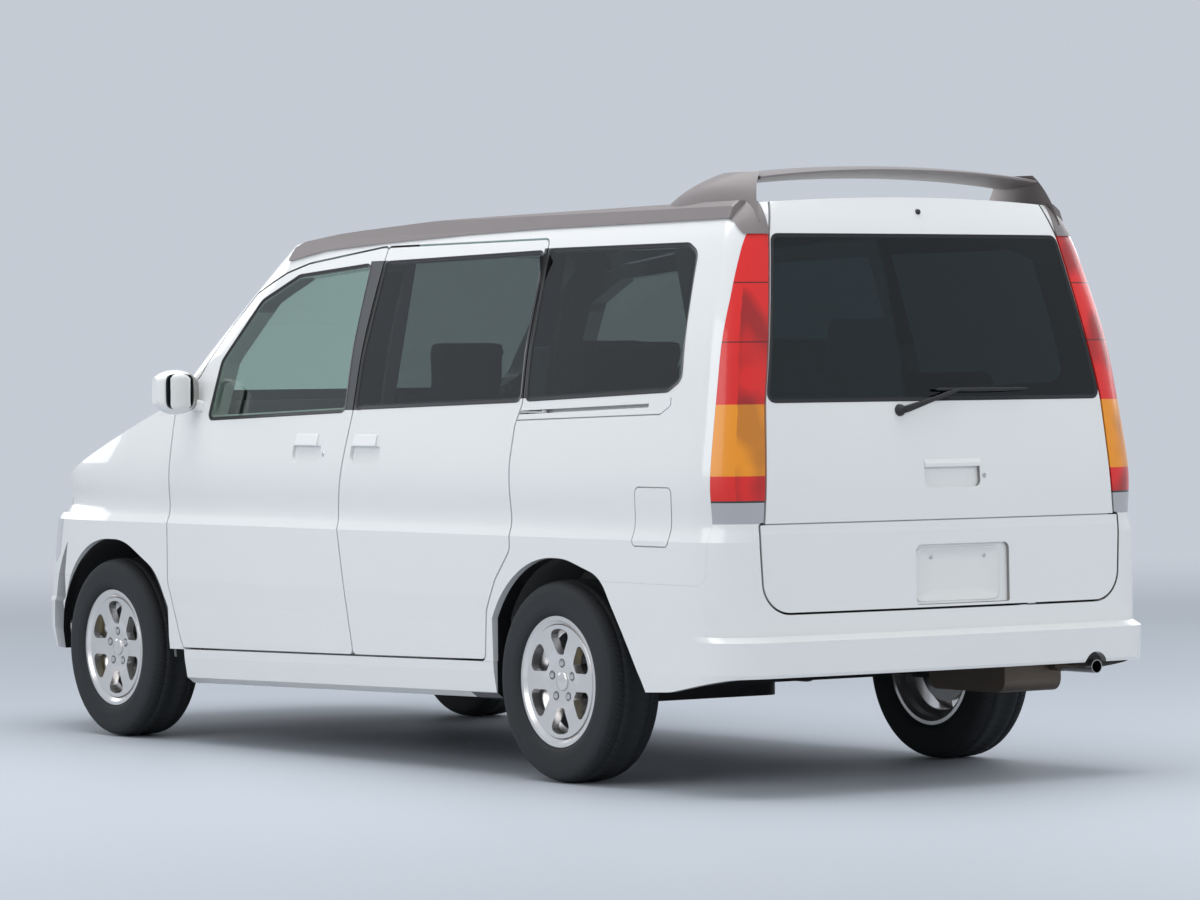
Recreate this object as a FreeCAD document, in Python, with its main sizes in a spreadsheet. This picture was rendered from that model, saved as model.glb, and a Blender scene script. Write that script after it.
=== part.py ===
"""A one-box family minivan: one sliding side door on the left, two hinged front doors, a full-height
tailgate, a bonnet, four wheels with front steering, and a roof wing carried on two roof rails.

Frame: millimetres, +X forward, +Y to the car's left, +Z up. The origin is on the ground, below the
centre of the overall box. Every size that can be set by itself is a cell of the sheet.
"""
import FreeCAD, Part
import math
import os
import Sketcher
from FreeCAD import Placement, Rotation
from FreeCAD import Vector as V

doc = FreeCAD.newDocument("minivan")

# Driving dimensions, with what each one measures
SIZES = [
    ("nose_x", 2315, "foremost point of the front bumper"),
    ("tail_x", -2315, "rearmost point of the rear bumper"),
    ("body_half_width", 847, "half width over the lower doors"),
    ("front_axle_x", 1460, "front axle line"),
    ("wheelbase", 2800, "distance between the axle lines"),
    ("half_track", 742, "tyre centre from the centre plane"),
    ("tyre_radius", 318, "loaded radius"),
    ("tyre_width", 195, "section width"),
    ("rim_radius", 206, "outer edge of the rim flange"),
    ("rim_seat_radius", 190, "bead seat"),
    ("rim_width", 168, "over the flanges"),
    ("rim_well_radius", 168, "drop centre, outside"),
    ("rim_wall", 9, "barrel thickness"),
    ("spoke_count", 6, "spokes of one wheel"),
    ("hub_bore_radius", 28, "centre bore of wheel and brake disc"),
    ("stud_circle", 114.3, "pitch circle of the five studs"),
    ("disc_radius", 130, "brake disc"),
    ("disc_thickness", 24, "brake disc"),
    ("steer_axis_y", 690, "steering axis from the centre plane"),
    ("steer_axis_clearance", 0.5, "pin in its bore"),
    ("shut_gap", 7, "gap round doors and lids"),
    ("fit_gap", 0.4, "gap between fixed pieces that seat on each other"),
    ("skin", 24, "thickness of wings, bonnet and bumpers"),
    ("door_wall", 70, "thickness of doors and body sides"),
    ("roof_wall", 38, "thickness of the roof"),
    ("glass_thickness", 5, "all window glass"),
    ("glass_inset", 2.5, "glass below the body surface"),
    ("glass_lap", 14, "glass beyond the window opening"),
    ("sill_drop", 120, "height of the side skirts"),
    ("crease_low_z", 572, "lower crease of the side"),
    ("ledge_z", 792, "top of the ledge along the side"),
    ("roof_z", 1816, "top of the roof on the centre line"),
    ("door_top_z", 1704, "upper edge of the side doors"),
    ("floor_z", 362, "top of the front floor"),
    ("rear_floor_z", 480, "top of the load floor"),
    ("floor_thickness", 42, "floor pan"),
    ("arch_radius", 388, "wheel arch"),
    ("wing_z", 1881, "mid height of the roof wing"),
    ("wing_chord", 205, "length of the roof wing"),
    ("wing_bow", 29, "rise of the roof wing's middle over its ends"),
    ("step_z", 479, "step on top of the bumpers"),
    ("handle_length", 187, "door handle recess"),
    ("handle_height", 55, "door handle recess"),
    ("groove", 4, "width of the lines round the fuel flap and lower tailgate panel"),
    ("nut_pocket_radius", 15, "pockets of the wheel nuts"),
    ("mirror_reach", 981, "outermost point of the mirrors from the centre plane"),
    ("seat_width", 500, "one front or middle seat"),
    ("seat_y", 370, "middle of the front and middle seats"),
    ("bench_width", 1060, "rear bench"),
    ("steering_radius", 182, "steering wheel, to the middle of its rim"),
    ("exhaust_radius", 24, "exhaust pipe"),
    ("exhaust_tip_radius", 21.5, "exhaust tail pipe"),
    ("engine_width", 660, "engine block across the car"),
    ("engine_top", 800, "top of the engine block"),
    ("subframe_top", 285, "top of the front subframe"),
]
sheet = doc.addObject("Spreadsheet::Sheet", "Sizes")
for row, (alias, value, note) in enumerate(SIZES, 1):
    sheet.set("A%d" % row, alias)
    sheet.set("B%d" % row, str(value))
    sheet.set("C%d" % row, note)
    sheet.setAlias("B%d" % row, alias)
doc.recompute()


def s(alias):
    """The value of a cell of the sheet."""
    return float(getattr(sheet, alias))


NOSE, TAIL, HALF = s("nose_x"), s("tail_x"), s("body_half_width")
FRONT_X = s("front_axle_x")
REAR_X = FRONT_X - s("wheelbase")
GAP, FIT, SKIN, WALL = s("shut_gap"), s("fit_gap"), s("skin"), s("door_wall")
WHEEL_Z = s("tyre_radius")
FAR = 3000
nodes = []


# Outline helpers
def bezier(*points):
    curve = Part.BezierCurve()
    curve.setPoles([V(*p) for p in points])
    return curve.toShape()


def line(a, b):
    return Part.makeLine(V(*a), V(*b))


def mix(a, b, share):
    return tuple(p + (q - p) * share for p, q in zip(a, b))


def corner(start, tangent_corner, end, fullness):
    """A rounded corner between two outline runs, tangent to both."""
    return bezier(start, mix(start, tangent_corner, fullness), mix(end, tangent_corner, fullness), end)


def plan_wire(z, half, nose, nose_sweep, nose_corner, nose_run, tail, tail_sweep, tail_corner, tail_run,
              nose_full=0.68, tail_full=0.6):
    """The closed plan outline of the body at height z. The front face bows by nose_sweep, and its
    corners are nose_corner wide and nose_run long. The same holds for the tail."""
    yf, yr = half - nose_corner, half - tail_corner
    front = (nose - nose_sweep, yf, z)
    front_q = (nose - nose_sweep - 2 * nose_sweep / yf * nose_corner, half, z)
    front_side = (front_q[0] - nose_run, half, z)
    rear = (tail + tail_sweep, yr, z)
    rear_q = (tail + tail_sweep + 2 * tail_sweep / yr * tail_corner, half, z)
    rear_side = (rear_q[0] + tail_run, half, z)

    def right(p):
        return (p[0], -p[1], p[2])

    edges = [
        bezier(right(front), (nose + nose_sweep, 0, z), front),
        corner(front, front_q, front_side, nose_full),
        line(front_side, rear_side),
        corner(rear_side, rear_q, rear, tail_full),
        bezier(rear, (tail - tail_sweep, 0, z), right(rear)),
        corner(right(rear), right(rear_q), right(rear_side), tail_full),
        line(right(rear_side), right(front_side)),
        corner(right(front_side), right(front_q), right(front), nose_full),
    ]
    return Part.Wire(edges)


def rounded_wire(points, plane, level):
    """A closed wire through (a, b, radius) corners, each rounded by a tangent arc."""
    def at(p):
        return {"xz": V(p.x, level, p.y), "xy": V(p.x, p.y, level), "yz": V(level, p.x, p.y)}[plane]

    count, cut = len(points), []
    for i in range(count):
        before, here, after = (V(*points[(i + k) % count][:2], 0) for k in (-1, 0, 1))
        radius = points[i][2] if len(points[i]) > 2 else 0
        if radius <= 0:
            cut.append((here, here, here))
            continue
        u, w = (before - here).normalize(), (after - here).normalize()
        half_turn = u.getAngle(w) / 2
        back = radius / math.tan(half_turn)
        centre = here + (u + w).normalize() * (radius / math.sin(half_turn))
        cut.append((here + u * back, centre + (here - centre).normalize() * radius, here + w * back))
    edges = []
    for i in range(count):
        start, middle, end = cut[i]
        if (start - end).Length > 1e-6:
            edges.append(Part.Arc(at(start), at(middle), at(end)).toShape())
        following = cut[(i + 1) % count][0]
        if (end - following).Length > 1e-6:
            edges.append(Part.makeLine(at(end), at(following)))
    return Part.Wire(edges)


DIRECTIONS = {"xz": V(0, 1, 0), "xy": V(0, 0, 1), "yz": V(1, 0, 0)}


def prism(points, plane, low, high, grow=0.0):
    """An outline in one of the main planes, grown by grow and carried from low to high."""
    face = Part.Face(rounded_wire(points, plane, low))
    if grow:
        face = Part.Face(face.makeOffset2D(grow).Wires[0])
    return face.extrude(DIRECTIONS[plane] * (high - low))


def side_prism(points, grow=0.0, low=400, high=1100):
    return prism(points, "xz", low, high, grow)


def block(x0, x1, y0, y1, z0, z1):
    return Part.makeBox(x1 - x0, y1 - y0, z1 - z0, V(x0, y0, z0))


def mirrored(shape):
    return shape.mirror(V(0, 0, 0), V(0, 1, 0))


def cylinder_y(radius, x, y0, y1, z):
    return Part.makeCylinder(radius, y1 - y0, V(x, y0, z), V(0, 1, 0))


# Outer form of the body. Each level is (z, narrower by, nose back by, front bow, tail forward by).
LOWER = [(300, 12, 30, 62, 33), (372, 6, 5, 64, 3), (s("step_z") - 9, 3, 0, 66, 0), (s("step_z") + 7, 3, 18, 66, 39),
         (s("crease_low_z"), 0, 31, 66, 43), (770, 0, 53, 74, 46), (s("ledge_z"), 8, 60, 76, 46)]
UPPER = [(s("ledge_z"), 8, 60, 76, 46), (900, 11, 110, 84, 50), (1050, 23, 165, 90, 61), (1200, 47, 235, 95, 77),
         (1367, 75, 235, 95, 101), (1489, 105, 235, 95, 125), (1633, 147, 235, 95, 157),
         (1700, 170, 235, 95, 174), (1750, 197, 235, 95, 190), (1800, 245, 235, 95, 208), (1850, 320, 235, 95, 228)]
SCREEN = [(1050, 1424), (1200, 1274), (1367, 1108), (1489, 976), (1633, 812), (1720, 708), (1860, 540)]
HOOD = [(900, 1305), (1180, 1222), (1566, 1098), (1836, 1003), (2080, 917), (2500, 762)]
ROOF = [(-2500, -12), (-2080, 0), (-1500, 0), (-800, -10), (-200, -24), (200, -38), (480, -64), (700, -104),
        (1000, -186), (1500, -400), (2000, -640), (2600, -950)]


def levels(table, inset):
    wires = []
    for z, narrow, back, bow, forward in table:
        high = min(max((z - s("ledge_z")) / 900, 0), 1)
        wires.append(plan_wire(z, HALF - narrow - inset, NOSE - back - inset, bow, 330, 620,
                               TAIL + forward + inset, 26, 150 - 38 * high, 165 - 85 * high))
    return wires


def screen_under(inset):
    """Everything behind the windscreen surface, whose ends turn back into the sides."""
    wires = []
    for z, nose in SCREEN:
        half = HALF - (z - 1050) * 0.27 - 20 - inset
        wires.append(plan_wire(z, half + 30, nose - inset, 100, 160, 190, -2600, 10, 150, 150))
    return Part.makeLoft(wires, True, False)


def crowned(stations, drops, inset, floor=0.0):
    """Everything below a surface given by its centre line and a list of (y, drop) across it."""
    sections = []
    for x, top in stations:
        crown = Part.BSplineCurve()
        crown.interpolate([V(x, y, top - drop - inset) for y, drop in drops])
        first, last = V(x, drops[0][0], top - drops[0][1] - inset), V(x, drops[-1][0], top - drops[-1][1] - inset)
        feet = V(x, last.y, floor), V(x, first.y, floor)
        sections.append(Part.Wire([crown.toShape(), Part.makeLine(last, feet[0]),
                                   Part.makeLine(*feet), Part.makeLine(feet[1], first)]))
    return Part.makeLoft(sections, True, False)


HOOD_DROPS = [(y, 34 * (y / 784) ** 2 + 30 * abs(y / 800) ** 8)
              for y in (-900, -800, -650, -400, 0, 400, 650, 800, 900)]
ROOF_DROPS = [(y, 48 * (y / 900) ** 2) for y in (-1000, -650, 0, 650, 1000)]


def upper_form(inset, top_inset):
    """The body above the ledge, cut by the roof, windscreen and bonnet surfaces."""
    high = Part.makeLoft(levels(UPPER, inset), True, False)
    roof = crowned([(x, s("roof_z") + dz) for x, dz in ROOF], ROOF_DROPS, top_inset)
    hood = crowned(HOOD, HOOD_DROPS, top_inset, -50)
    over_hood = block(HOOD[0][0] + 10, 2490, -890, 890, 0, 1900).cut(hood).cut(screen_under(inset))
    before_screen = block(400, HOOD[0][0] + 20, -890, 890, 1250, 1900).cut(screen_under(inset))
    return high.common(roof).cut([over_hood, before_screen])


def envelope(inset, top_inset=None):
    """The body's outer form, drawn in by inset at the sides and ends and by top_inset above."""
    low = Part.makeLoft(levels(LOWER, inset), True, True)
    return low.fuse(upper_form(inset, inset if top_inset is None else top_inset)).removeSplitter()


def glasshouse(inset):
    """The form of the envelope above the ledge, without the nose, for glass and roof trim."""
    high = Part.makeLoft(levels(UPPER, inset), True, False)
    roof = crowned([(x, s("roof_z") + dz) for x, dz in ROOF], ROOF_DROPS, inset)
    return high.common(roof.common(screen_under(inset)))


def feature(name, shape):
    """A free-form sub-part, made with Part's own functions."""
    solids = [piece for piece in shape.Solids if piece.Volume > 1000]
    obj = doc.addObject("Part::Feature", name)
    obj.Shape = solids[0] if len(solids) == 1 else Part.makeCompound(solids)
    obj.Label = name
    nodes.append(obj)
    return obj.Shape


def pair(shape):
    """A left piece and its mirror image."""
    return Part.makeCompound([shape, mirrored(shape)])


# Forms that the panels are cut from
outer = envelope(0)
behind_skin = envelope(SKIN)
seat_of_skin = envelope(SKIN + FIT)
behind_lip = envelope(12)
cabin = envelope(WALL, s("roof_wall"))
clear_of_doors = envelope(WALL + GAP, s("roof_wall") + GAP)
skin_shell = outer.cut(behind_skin)
wall_shell = outer.cut(cabin)

# Side outlines of the left side, as (x, z, corner radius)
DOOR_TOP = s("door_top_z")
front_door_line = [(948, 338, 18), (1036, 562, 60), (1036, 1180, 30), (893, 1282, 60), (756, 1450, 0),
                   (636, 1563, 60), (450, 1631, 60), (320, 1660, 60), (-120, DOOR_TOP, 0),
                   (-150, DOOR_TOP, 12), (-120, 1153, 60), (-64, 831, 120), (-161, 358, 18)]
sliding_door_line = [(-161 - GAP, 358, 18), (-64 - GAP, 831, 120), (-120 - GAP, 1153, 60),
                     (-150 - GAP, DOOR_TOP, 12), (-1100, DOOR_TOP + 3, 24), (-1119, 1188, 30), (-1091, 1120, 60),
                     (-1085, 1000, 200), (-1105, 728, 45), (-1020, 632, 60), (-966, 530, 60), (-952, 374, 18)]
door_edge_strip = [(-147, 330), (-50, 831, 120), (-106, 1153, 60), (-136, 1800), (-300, 1800), (-300, 330)]
front_window = [(795, 1146, 8), (753, 1326, 20), (572, 1531, 40), (366, 1611, 60), (-61, 1639, 10), (-62, 1174, 10)]
rear_door_window = [(-149, 1184, 10), (-173, 1644, 12), (-1078, 1658, 12), (-1097, 1208, 10)]
quarter_window = [(-1150, 1211, 10), (-1124, 1663, 12), (-1868, 1663, 30), (-1915, 1640, 25), (-1954, 1268, 20),
                  (-1900, 1238, 30)]


def sill_top(x):
    """Height of the side skirt's upper edge, which rises towards the tail below the doors."""
    return 331 + (948 - x) * 0.0187


def arch(x, radius, low, high, heel):
    """The opening over one wheel: an arc with a slanted heel behind it."""
    lip = cylinder_y(radius, x, low, high, WHEEL_Z)
    return lip.fuse(prism([(x + dx, *rest) for dx, *rest in heel], "xz", low, high))


ARCH = s("arch_radius")
LINER = 4
front_arch = arch(FRONT_X, ARCH, 440, 1000, [(0, 100), (-560, 100), (-502, 336, 300), (-338, 600, 200),
                                             (-110, 706, 300), (0, 706)])
rear_arch = arch(REAR_X, ARCH, 440, 1000, [(0, 100), (-560, 100), (-484, 315, 400), (-398, 452, 400),
                                           (-262, 655, 140), (-70, 706, 300), (0, 706)])
rear_arch = rear_arch.common(block(-FAR, REAR_X + 340, 0, FAR, 0, FAR))

# Outline of the tailgate in the rear view, and of the glass in it
tailgate_line = [(-690, 556, 95), (-700, 760, 0), (-700, 822, 6), (-683, 822, 0), (-656, 1190, 500),
                 (-562, 1700, 30), (-519, 1830, 0), (519, 1830, 0), (562, 1700, 30), (656, 1190, 500),
                 (683, 822, 0), (700, 822, 6), (700, 760, 0), (690, 556, 95)]
tail_window = [(-636, 1204, 10), (-546, 1685, 10), (546, 1685, 10), (636, 1204, 10)]
screen_window = [(-640, 1232, 60), (-560, 1690, 60), (560, 1690, 60), (640, 1232, 60)]
TAILGATE_TOP_X = TAIL + 243
REAR_FACE = -2600

glass_out = glasshouse(s("glass_inset"))
glass_in = glasshouse(s("glass_inset") + s("glass_thickness"))
glass_seat = glasshouse(s("glass_inset") + s("glass_thickness") + FIT)


def pane(window, plane="xz", low=400, high=1100):
    """A pane that fills a window outline and laps onto its frame all round."""
    return prism(window, plane, low, high, s("glass_lap")).common(glass_out).cut(glass_in)


def rebate(window, plane="xz", low=400, high=1100):
    """What a panel loses for its pane: the rebate that the pane lies in and the open window."""
    ledge = prism(window, plane, low, high, s("glass_lap") + FIT).cut(glass_seat)
    return ledge.fuse(prism(window, plane, low, high))


# Roof rails, and the fins and blade of the roof wing that continues them
rail_line = [(462, 1673, 6), (238, 1705, 60), (-115, 1721, 0), (-622, 1737, 0), (-1022, 1744, 0), (-1751, 1747, 0),
             (-2040, 1749, 0), (-2040, 1803, 0), (-1617, 1801, 0), (-1325, 1798, 0), (-967, 1795, 0), (-596, 1791, 0),
             (-405, 1788, 0), (44, 1768, 0), (184, 1760, 60), (390, 1740, 60), (438, 1722, 8)]
rail_side = [(598, 1600), (712, 1600), (708, 1633), (685, 1700), (660, 1745), (642, 1790), (630, 1815), (598, 1815)]
cap_line = [(-2030, 1749, 0), (-2057, 1736, 20), (-2094, 1700, 0), (-2500, 1700, 0), (-2500, 1830, 0), (-2030, 1830, 0)]
LAMP_TOP = 1700
FIN_FRONT = -1560
CAP_FRONT = -2040
tailgate_opening = prism(tailgate_line, "yz", REAR_FACE, TAILGATE_TOP_X + GAP, GAP)
rail_zone = side_prism(rail_line, 0, 598)
rail = rail_zone.common(prism(rail_side, "yz", CAP_FRONT, 700)).common(glasshouse(-25)).cut(glass_in)
cap_zone = side_prism(cap_line, 0, 565 + FIT)
cap = cap_zone.common(glasshouse(-4)).cut([glass_in, tailgate_opening])
rail_seat = rail_zone.fuse(cap_zone).cut(glass_seat)


def fin_section(rear, front, half, z):
    """One level of a fin: a lens outline between two points of the plan, thin at both ends."""
    run = V(front[0] - rear[0], front[1] - rear[1], 0)
    across = V(-run.y, run.x, 0).normalize() * (half * 1.3)
    a, b = V(rear[0], rear[1], z), V(front[0], front[1], z)
    near_front, middle = b - run * 0.15, (a + b) * 0.5
    return Part.Wire([bezier(b, near_front + across, middle + across, a), bezier(a, middle - across, near_front - across, b)])


fin = Part.makeLoft([fin_section((-2104, 592), (-1620, 640), 20, 1735), fin_section((-2078, 583), (-1690, 628), 17, 1800),
                     fin_section((-2036, 538), (-1850, 540), 14, 1893)], True, False)
fin = fin.cut(glasshouse(-FIT)).cut(tailgate_opening)
fin_foot = rail.common(block(-FAR, FIN_FRONT, 0, 900, 1000, 2000)).fuse(cap)


def blade_section(y, lift):
    """The wing's section at y: a lens, blunt in front and sharp behind."""
    z, chord, thick = s("wing_z") + lift, s("wing_chord"), 34
    front, back = -1845, -1845 - chord
    return Part.Wire([bezier((back, y, z + 10), (back + 60, y, z + thick * 0.75), (front, y, z + thick), (front, y, z)),
                      bezier((front, y, z), (front, y, z - thick * 0.8), (back + 60, y, z - 8), (back, y, z + 4)),
                      line((back, y, z + 4), (back, y, z + 10))])


BOW = s("wing_bow")
blade = Part.makeLoft([blade_section(y, (0.48 - share) * BOW) for y, share in
                       ((-544, 1), (-300, 0.28), (0, 0), (300, 0.28), (544, 1))], True, False)
wing = fin_foot.fuse([fin, mirrored(fin_foot), mirrored(fin), blade])
feature("roof_wing", wing)
feature("roof_rails", pair(rail.common(block(FIN_FRONT + FIT, FAR, 0, 900, 1000, 2000))))

RUN = 0.3

# Body sides: pillars, roof side and quarter panel
ROOF_SEAM = 565
PILLAR_FOOT_X, PILLAR_FOOT_Z = 1150, 1150
bumper_line = [(-1500, 100), (-1500, 640), (-2140, 640, 40), (-2150, 826), (-2500, 826), (-2500, 100)]
bumper_zone = prism(bumper_line, "xz", -1000, 1000)
BUMPER_TOP = 826
lamp_line = [(-2152, BUMPER_TOP), (-2148, 1000, 300), (-2134, 1270, 300), (-2117, 1499, 300), (-2104, 1614, 200),
             (-2094, LAMP_TOP), (-2500, LAMP_TOP), (-2500, BUMPER_TOP)]
screen_cut = rebate(screen_window, "yz", 350, 1700)
lamp = skin_shell.common(side_prism(lamp_line)).cut(tailgate_opening)
lamp_hole = outer.cut(seat_of_skin).common(side_prism(lamp_line, FIT))
under_doors = prism([(-1090, 100), (-1090, sill_top(-1090) + FIT), (1300, sill_top(1300) + FIT), (1300, 100)],
                    "xz", 0, 1000)
side_zone = block(TAIL, PILLAR_FOOT_X, ROOF_SEAM, 900, 300, 1900).cut(
    block(1036 + GAP, 1300, 400, 900, 0, PILLAR_FOOT_Z))
common_side = wall_shell.common(side_zone).cut([bumper_zone, tailgate_opening, rear_arch, screen_cut, lamp_hole,
                                                rail_seat, under_doors, side_prism(front_door_line, GAP)])
hinge_post = side_prism([(1036 + GAP, 300), (1036 + GAP, 1200), (1110, 1200), (1110, 300)], 0, 690, 900)
hinge_leaves = [block(1036 + RUN, 1060, 775, 805, z - 22, z + 22) for z in (690, 1000)]
hinge_post = hinge_post.common(seat_of_skin).cut([cylinder_y(ARCH + LINER + 10, FRONT_X, 400, 900, WHEEL_Z)])
hinge_post = hinge_post.fuse([leaf.common(seat_of_skin) for leaf in hinge_leaves])
post_foot = s("floor_z") + FIT
b_post = prism([(700, post_foot), (700, 1100), (570, 1745), (900, 1745), (900, post_foot)], "yz", -190, -40)
b_post = b_post.common(clear_of_doors).fuse(
    b_post.common(outer).common(block(-190, -40, 570, 900, DOOR_TOP + GAP + 1, 1760))).cut(rail_seat)
SLOT_FRONT, SLOT_REAR, SLOT_HEIGHT = (-1131, 1154), (-1812, 1176), 12
slot_line = [(SLOT_FRONT[0] + 40, SLOT_FRONT[1] - 1.3), (*SLOT_REAR, 3), (SLOT_REAR[0], SLOT_REAR[1] + SLOT_HEIGHT, 3),
             (SLOT_FRONT[0] + 40, SLOT_FRONT[1] + SLOT_HEIGHT - 1.3)]
slide_slot = prism(slot_line, "xz", 700, 900).cut(envelope(34))
LINE = s("groove")
cover_line = [(-1060, 1132), (-1877, 1153, 30), (-1929, 1181, 14), (-1925, 1206), (-1925 + LINE, 1206),
              (-1929 + LINE, 1181 + LINE / 2, 12), (-1877, 1153 + LINE, 30), (-1060, 1132 + LINE)]
flap_line = [(-1773, 751, 22), (-1778, 935, 22), (-1972, 935, 22), (-1967, 751, 22)]
flap_groove = side_prism(flap_line).cut(side_prism(flap_line, -LINE))
side_lines = flap_groove.fuse(side_prism(cover_line)).cut(behind_lip)
left_side = common_side.cut([side_prism(sliding_door_line, GAP), rebate(quarter_window), slide_slot, side_lines,
                             block(-190, -130, 762, 900, 300, 400)]).fuse([b_post, hinge_post])
right_side = common_side.cut([rebate(rear_door_window), rebate(quarter_window)]).fuse([b_post, hinge_post])
feature("body_side_left", left_side)
feature("body_side_right", mirrored(right_side))
feature("tail_lamps", pair(lamp))
tailgate_hinges = [block(TAILGATE_TOP_X + RUN, TAILGATE_TOP_X + 12, y - 20, y + 20, 1700, 1900).common(
    wall_shell).common(behind_lip) for y in (350, -350)]
feature("roof_panel", wall_shell.common(block(-2400, 900, FIT - ROOF_SEAM, ROOF_SEAM - FIT, 1600, 1900)).cut(
    [tailgate_opening, screen_cut]).fuse(tailgate_hinges))

# Front doors with their mirrors
REACH = s("mirror_reach")
MIRROR = [(REACH - 169, 868, 904, 1180, 1272, 15), (REACH - 131, 850, 918, 1160, 1296, 26),
          (REACH - 36, 850, 914, 1160, 1300, 29), (REACH, 866, 900, 1188, 1280, 15)]
housing = Part.makeLoft([rounded_wire([(x0, z0, r), (x1, z0, r), (x1, z1, r), (x0, z1, r)], "xz", y)
                         for y, x0, x1, z0, z1, r in MIRROR], True, False)
mirror_foot = Part.makeLoft(
    [rounded_wire([(x0, z0, 9), (x1, z0, 9), (x1, z1, 9), (x0, z1, 9)], "xz", y)
     for y, x0, x1, z0, z1 in ((775, 845, 930, 1150, 1190), (850, 868, 908, 1172, 1212))], True, True)


def handle(door, x):
    """The door with a lift handle whose rear edge is at x: a cup in the skin and the flap above it."""
    x1, z0, z1 = x + s("handle_length"), 992, 992 + s("handle_height")
    cup = side_prism([(x, z0, 26), (x1, z0, 26), (x1 - 6, z1), (x + 6, z1)]).cut(behind_lip)
    flap = prism([(790, z1), (833, z1, 2), (832, z1 + 6, 3), (821, z1 + 40, 6), (790, z1 + 40)], "yz", x + 26, x1 - 24)
    return door.cut(cup).fuse(flap.cut(cabin))


front_door = wall_shell.common(side_prism(front_door_line)).cut(
    [rebate(front_window), behind_lip.common(side_prism(door_edge_strip))])
front_door = handle(front_door.fuse([housing, mirror_foot.cut(cabin)]), 43)
feature("front_door_left", front_door)
feature("front_door_right", mirrored(front_door))
front_glass = pane(front_window)
feature("front_door_glass_left", front_glass)
feature("front_door_glass_right", mirrored(front_glass))
sliding_door = wall_shell.common(side_prism(sliding_door_line)).cut(rebate(rear_door_window))
ARM_X = -1226
ARM_Z = SLOT_FRONT[1] + SLOT_HEIGHT / 2 + (SLOT_FRONT[0] - ARM_X) * (SLOT_REAR[1] - SLOT_FRONT[1]) / (
    SLOT_FRONT[0] - SLOT_REAR[0])
centre_arm = block(ARM_X - 6, -1090, 777, 797, ARM_Z - 4, ARM_Z).fuse(
    Part.makeCylinder(9, SLOT_HEIGHT - 1.4, V(ARM_X, 787, ARM_Z - SLOT_HEIGHT / 2 + 0.7)))
lower_arm = block(-330, -270, 738, 790, 378, 396).fuse(
    Part.makeCylinder(12, 20, V(-300, 724, s("floor_z") + FIT + 12), V(0, 1, 0)))
feature("sliding_door", handle(sliding_door, -323).fuse([centre_arm, lower_arm]))
rear_glass, quarter_glass = pane(rear_door_window), pane(quarter_window)
feature("sliding_door_glass", rear_glass)
feature("fixed_side_glass", Part.makeCompound([quarter_glass, mirrored(quarter_glass), mirrored(rear_glass)]))

# Tailgate with its plate fixing holes
PLATE_Y, PLATE_Z, PLATE_SPACING, PLATE_HOLE = -37, 708, 210, 3.5
inner_rim = prism(tailgate_line, "yz", REAR_FACE, -1900, 60).cut(
    prism(tailgate_line, "yz", REAR_FACE, -1900, -9)).common(behind_lip).common(
        block(REAR_FACE, -1900, -900, 900, 560, 1700))
plate_holes = [Part.makeCylinder(PLATE_HOLE, 400, V(REAR_FACE, PLATE_Y + side * PLATE_SPACING / 2, PLATE_Z), V(1, 0, 0))
               for side in (-1, 1)]
plate_recess = prism([(-238, 564, 8), (-238, 748, 20), (130, 748, 20), (130, 564, 8)], "yz", REAR_FACE, -2100)
lower_panel_line = block(REAR_FACE, -2100, -800, 800, 823 - LINE / 2, 823 + LINE / 2)
grip_cup = prism([(-130, 922, 20), (-130, 990, 0), (87, 990, 0), (87, 922, 20)], "yz", REAR_FACE, -2100)
grip_lip = prism([(-2235, 1009), (-2257, 1009, 4), (-2266, 996, 4), (-2266, 984, 2), (-2235, 984)], "xz", -130, 87)
tailgate = wall_shell.common(prism(tailgate_line, "yz", REAR_FACE, TAILGATE_TOP_X)).cut(
    [rebate(tail_window, "yz", REAR_FACE, -1900), inner_rim,
     plate_recess.fuse([lower_panel_line, grip_cup]).cut(behind_lip)] + plate_holes)
feature("tailgate", tailgate.fuse(grip_lip.cut(cabin)))
feature("tailgate_glass", pane(tail_window, "yz", REAR_FACE, -1900))
feature("windscreen", pane(screen_window, "yz", 350, 1700))

# Bonnet, wings, lamps, grille and bumpers
BONNET_REAR = 1330
bonnet_line = [(BONNET_REAR, 690), (BONNET_REAR, -690), (1990, -615, 60), (2300, -380), (2300, 380), (1990, 615, 60)]
BONNET_FOOT = 852
bonnet = skin_shell.common(prism(bonnet_line, "xy", BONNET_FOOT, 1400))
bonnet_opening = prism(bonnet_line, "xy", BONNET_FOOT - GAP, 1400, GAP)
feature("bonnet", bonnet)
bonnet_hinges = [block(BONNET_REAR - 20, BONNET_REAR - RUN, y - 22, y + 22, 1100, 1300).common(
    behind_lip).common(skin_shell) for y in (450, -450)]
cowl = skin_shell.common(block(1000, 1400, FIT - ROOF_SEAM, ROOF_SEAM - FIT, 1100, 1300).fuse(
    block(PILLAR_FOOT_X + FIT, 1400, -690, 690, 1100, 1300))).cut([bonnet_opening, screen_cut]).fuse(bonnet_hinges)
feature("cowl", cowl)
lamp_front_line = [(2500, 694), (2034, 694, 20), (1945, 604, 16), (1880, 640, 20), (1830, BONNET_FOOT - GAP, 20),
                   (2500, BONNET_FOOT - GAP)]
LAMP_INNER_Y = 440
headlamp_zone = prism(lamp_front_line, "xz", LAMP_INNER_Y, 1000)
headlamp = skin_shell.common(headlamp_zone)
bumper_front_line = [(1600, 100), (1600, 567), (1925, 567, 30), (2030, 690, 30), (2500, 690), (2500, 100)]
front_bumper_zone = prism(bumper_front_line, "xz", -1000, 1000)
lamp_clear = prism(lamp_front_line, "xz", LAMP_INNER_Y - FIT, 1000, FIT)
bumper_clear = prism(bumper_front_line, "xz", -1000, 1000, FIT)
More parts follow.
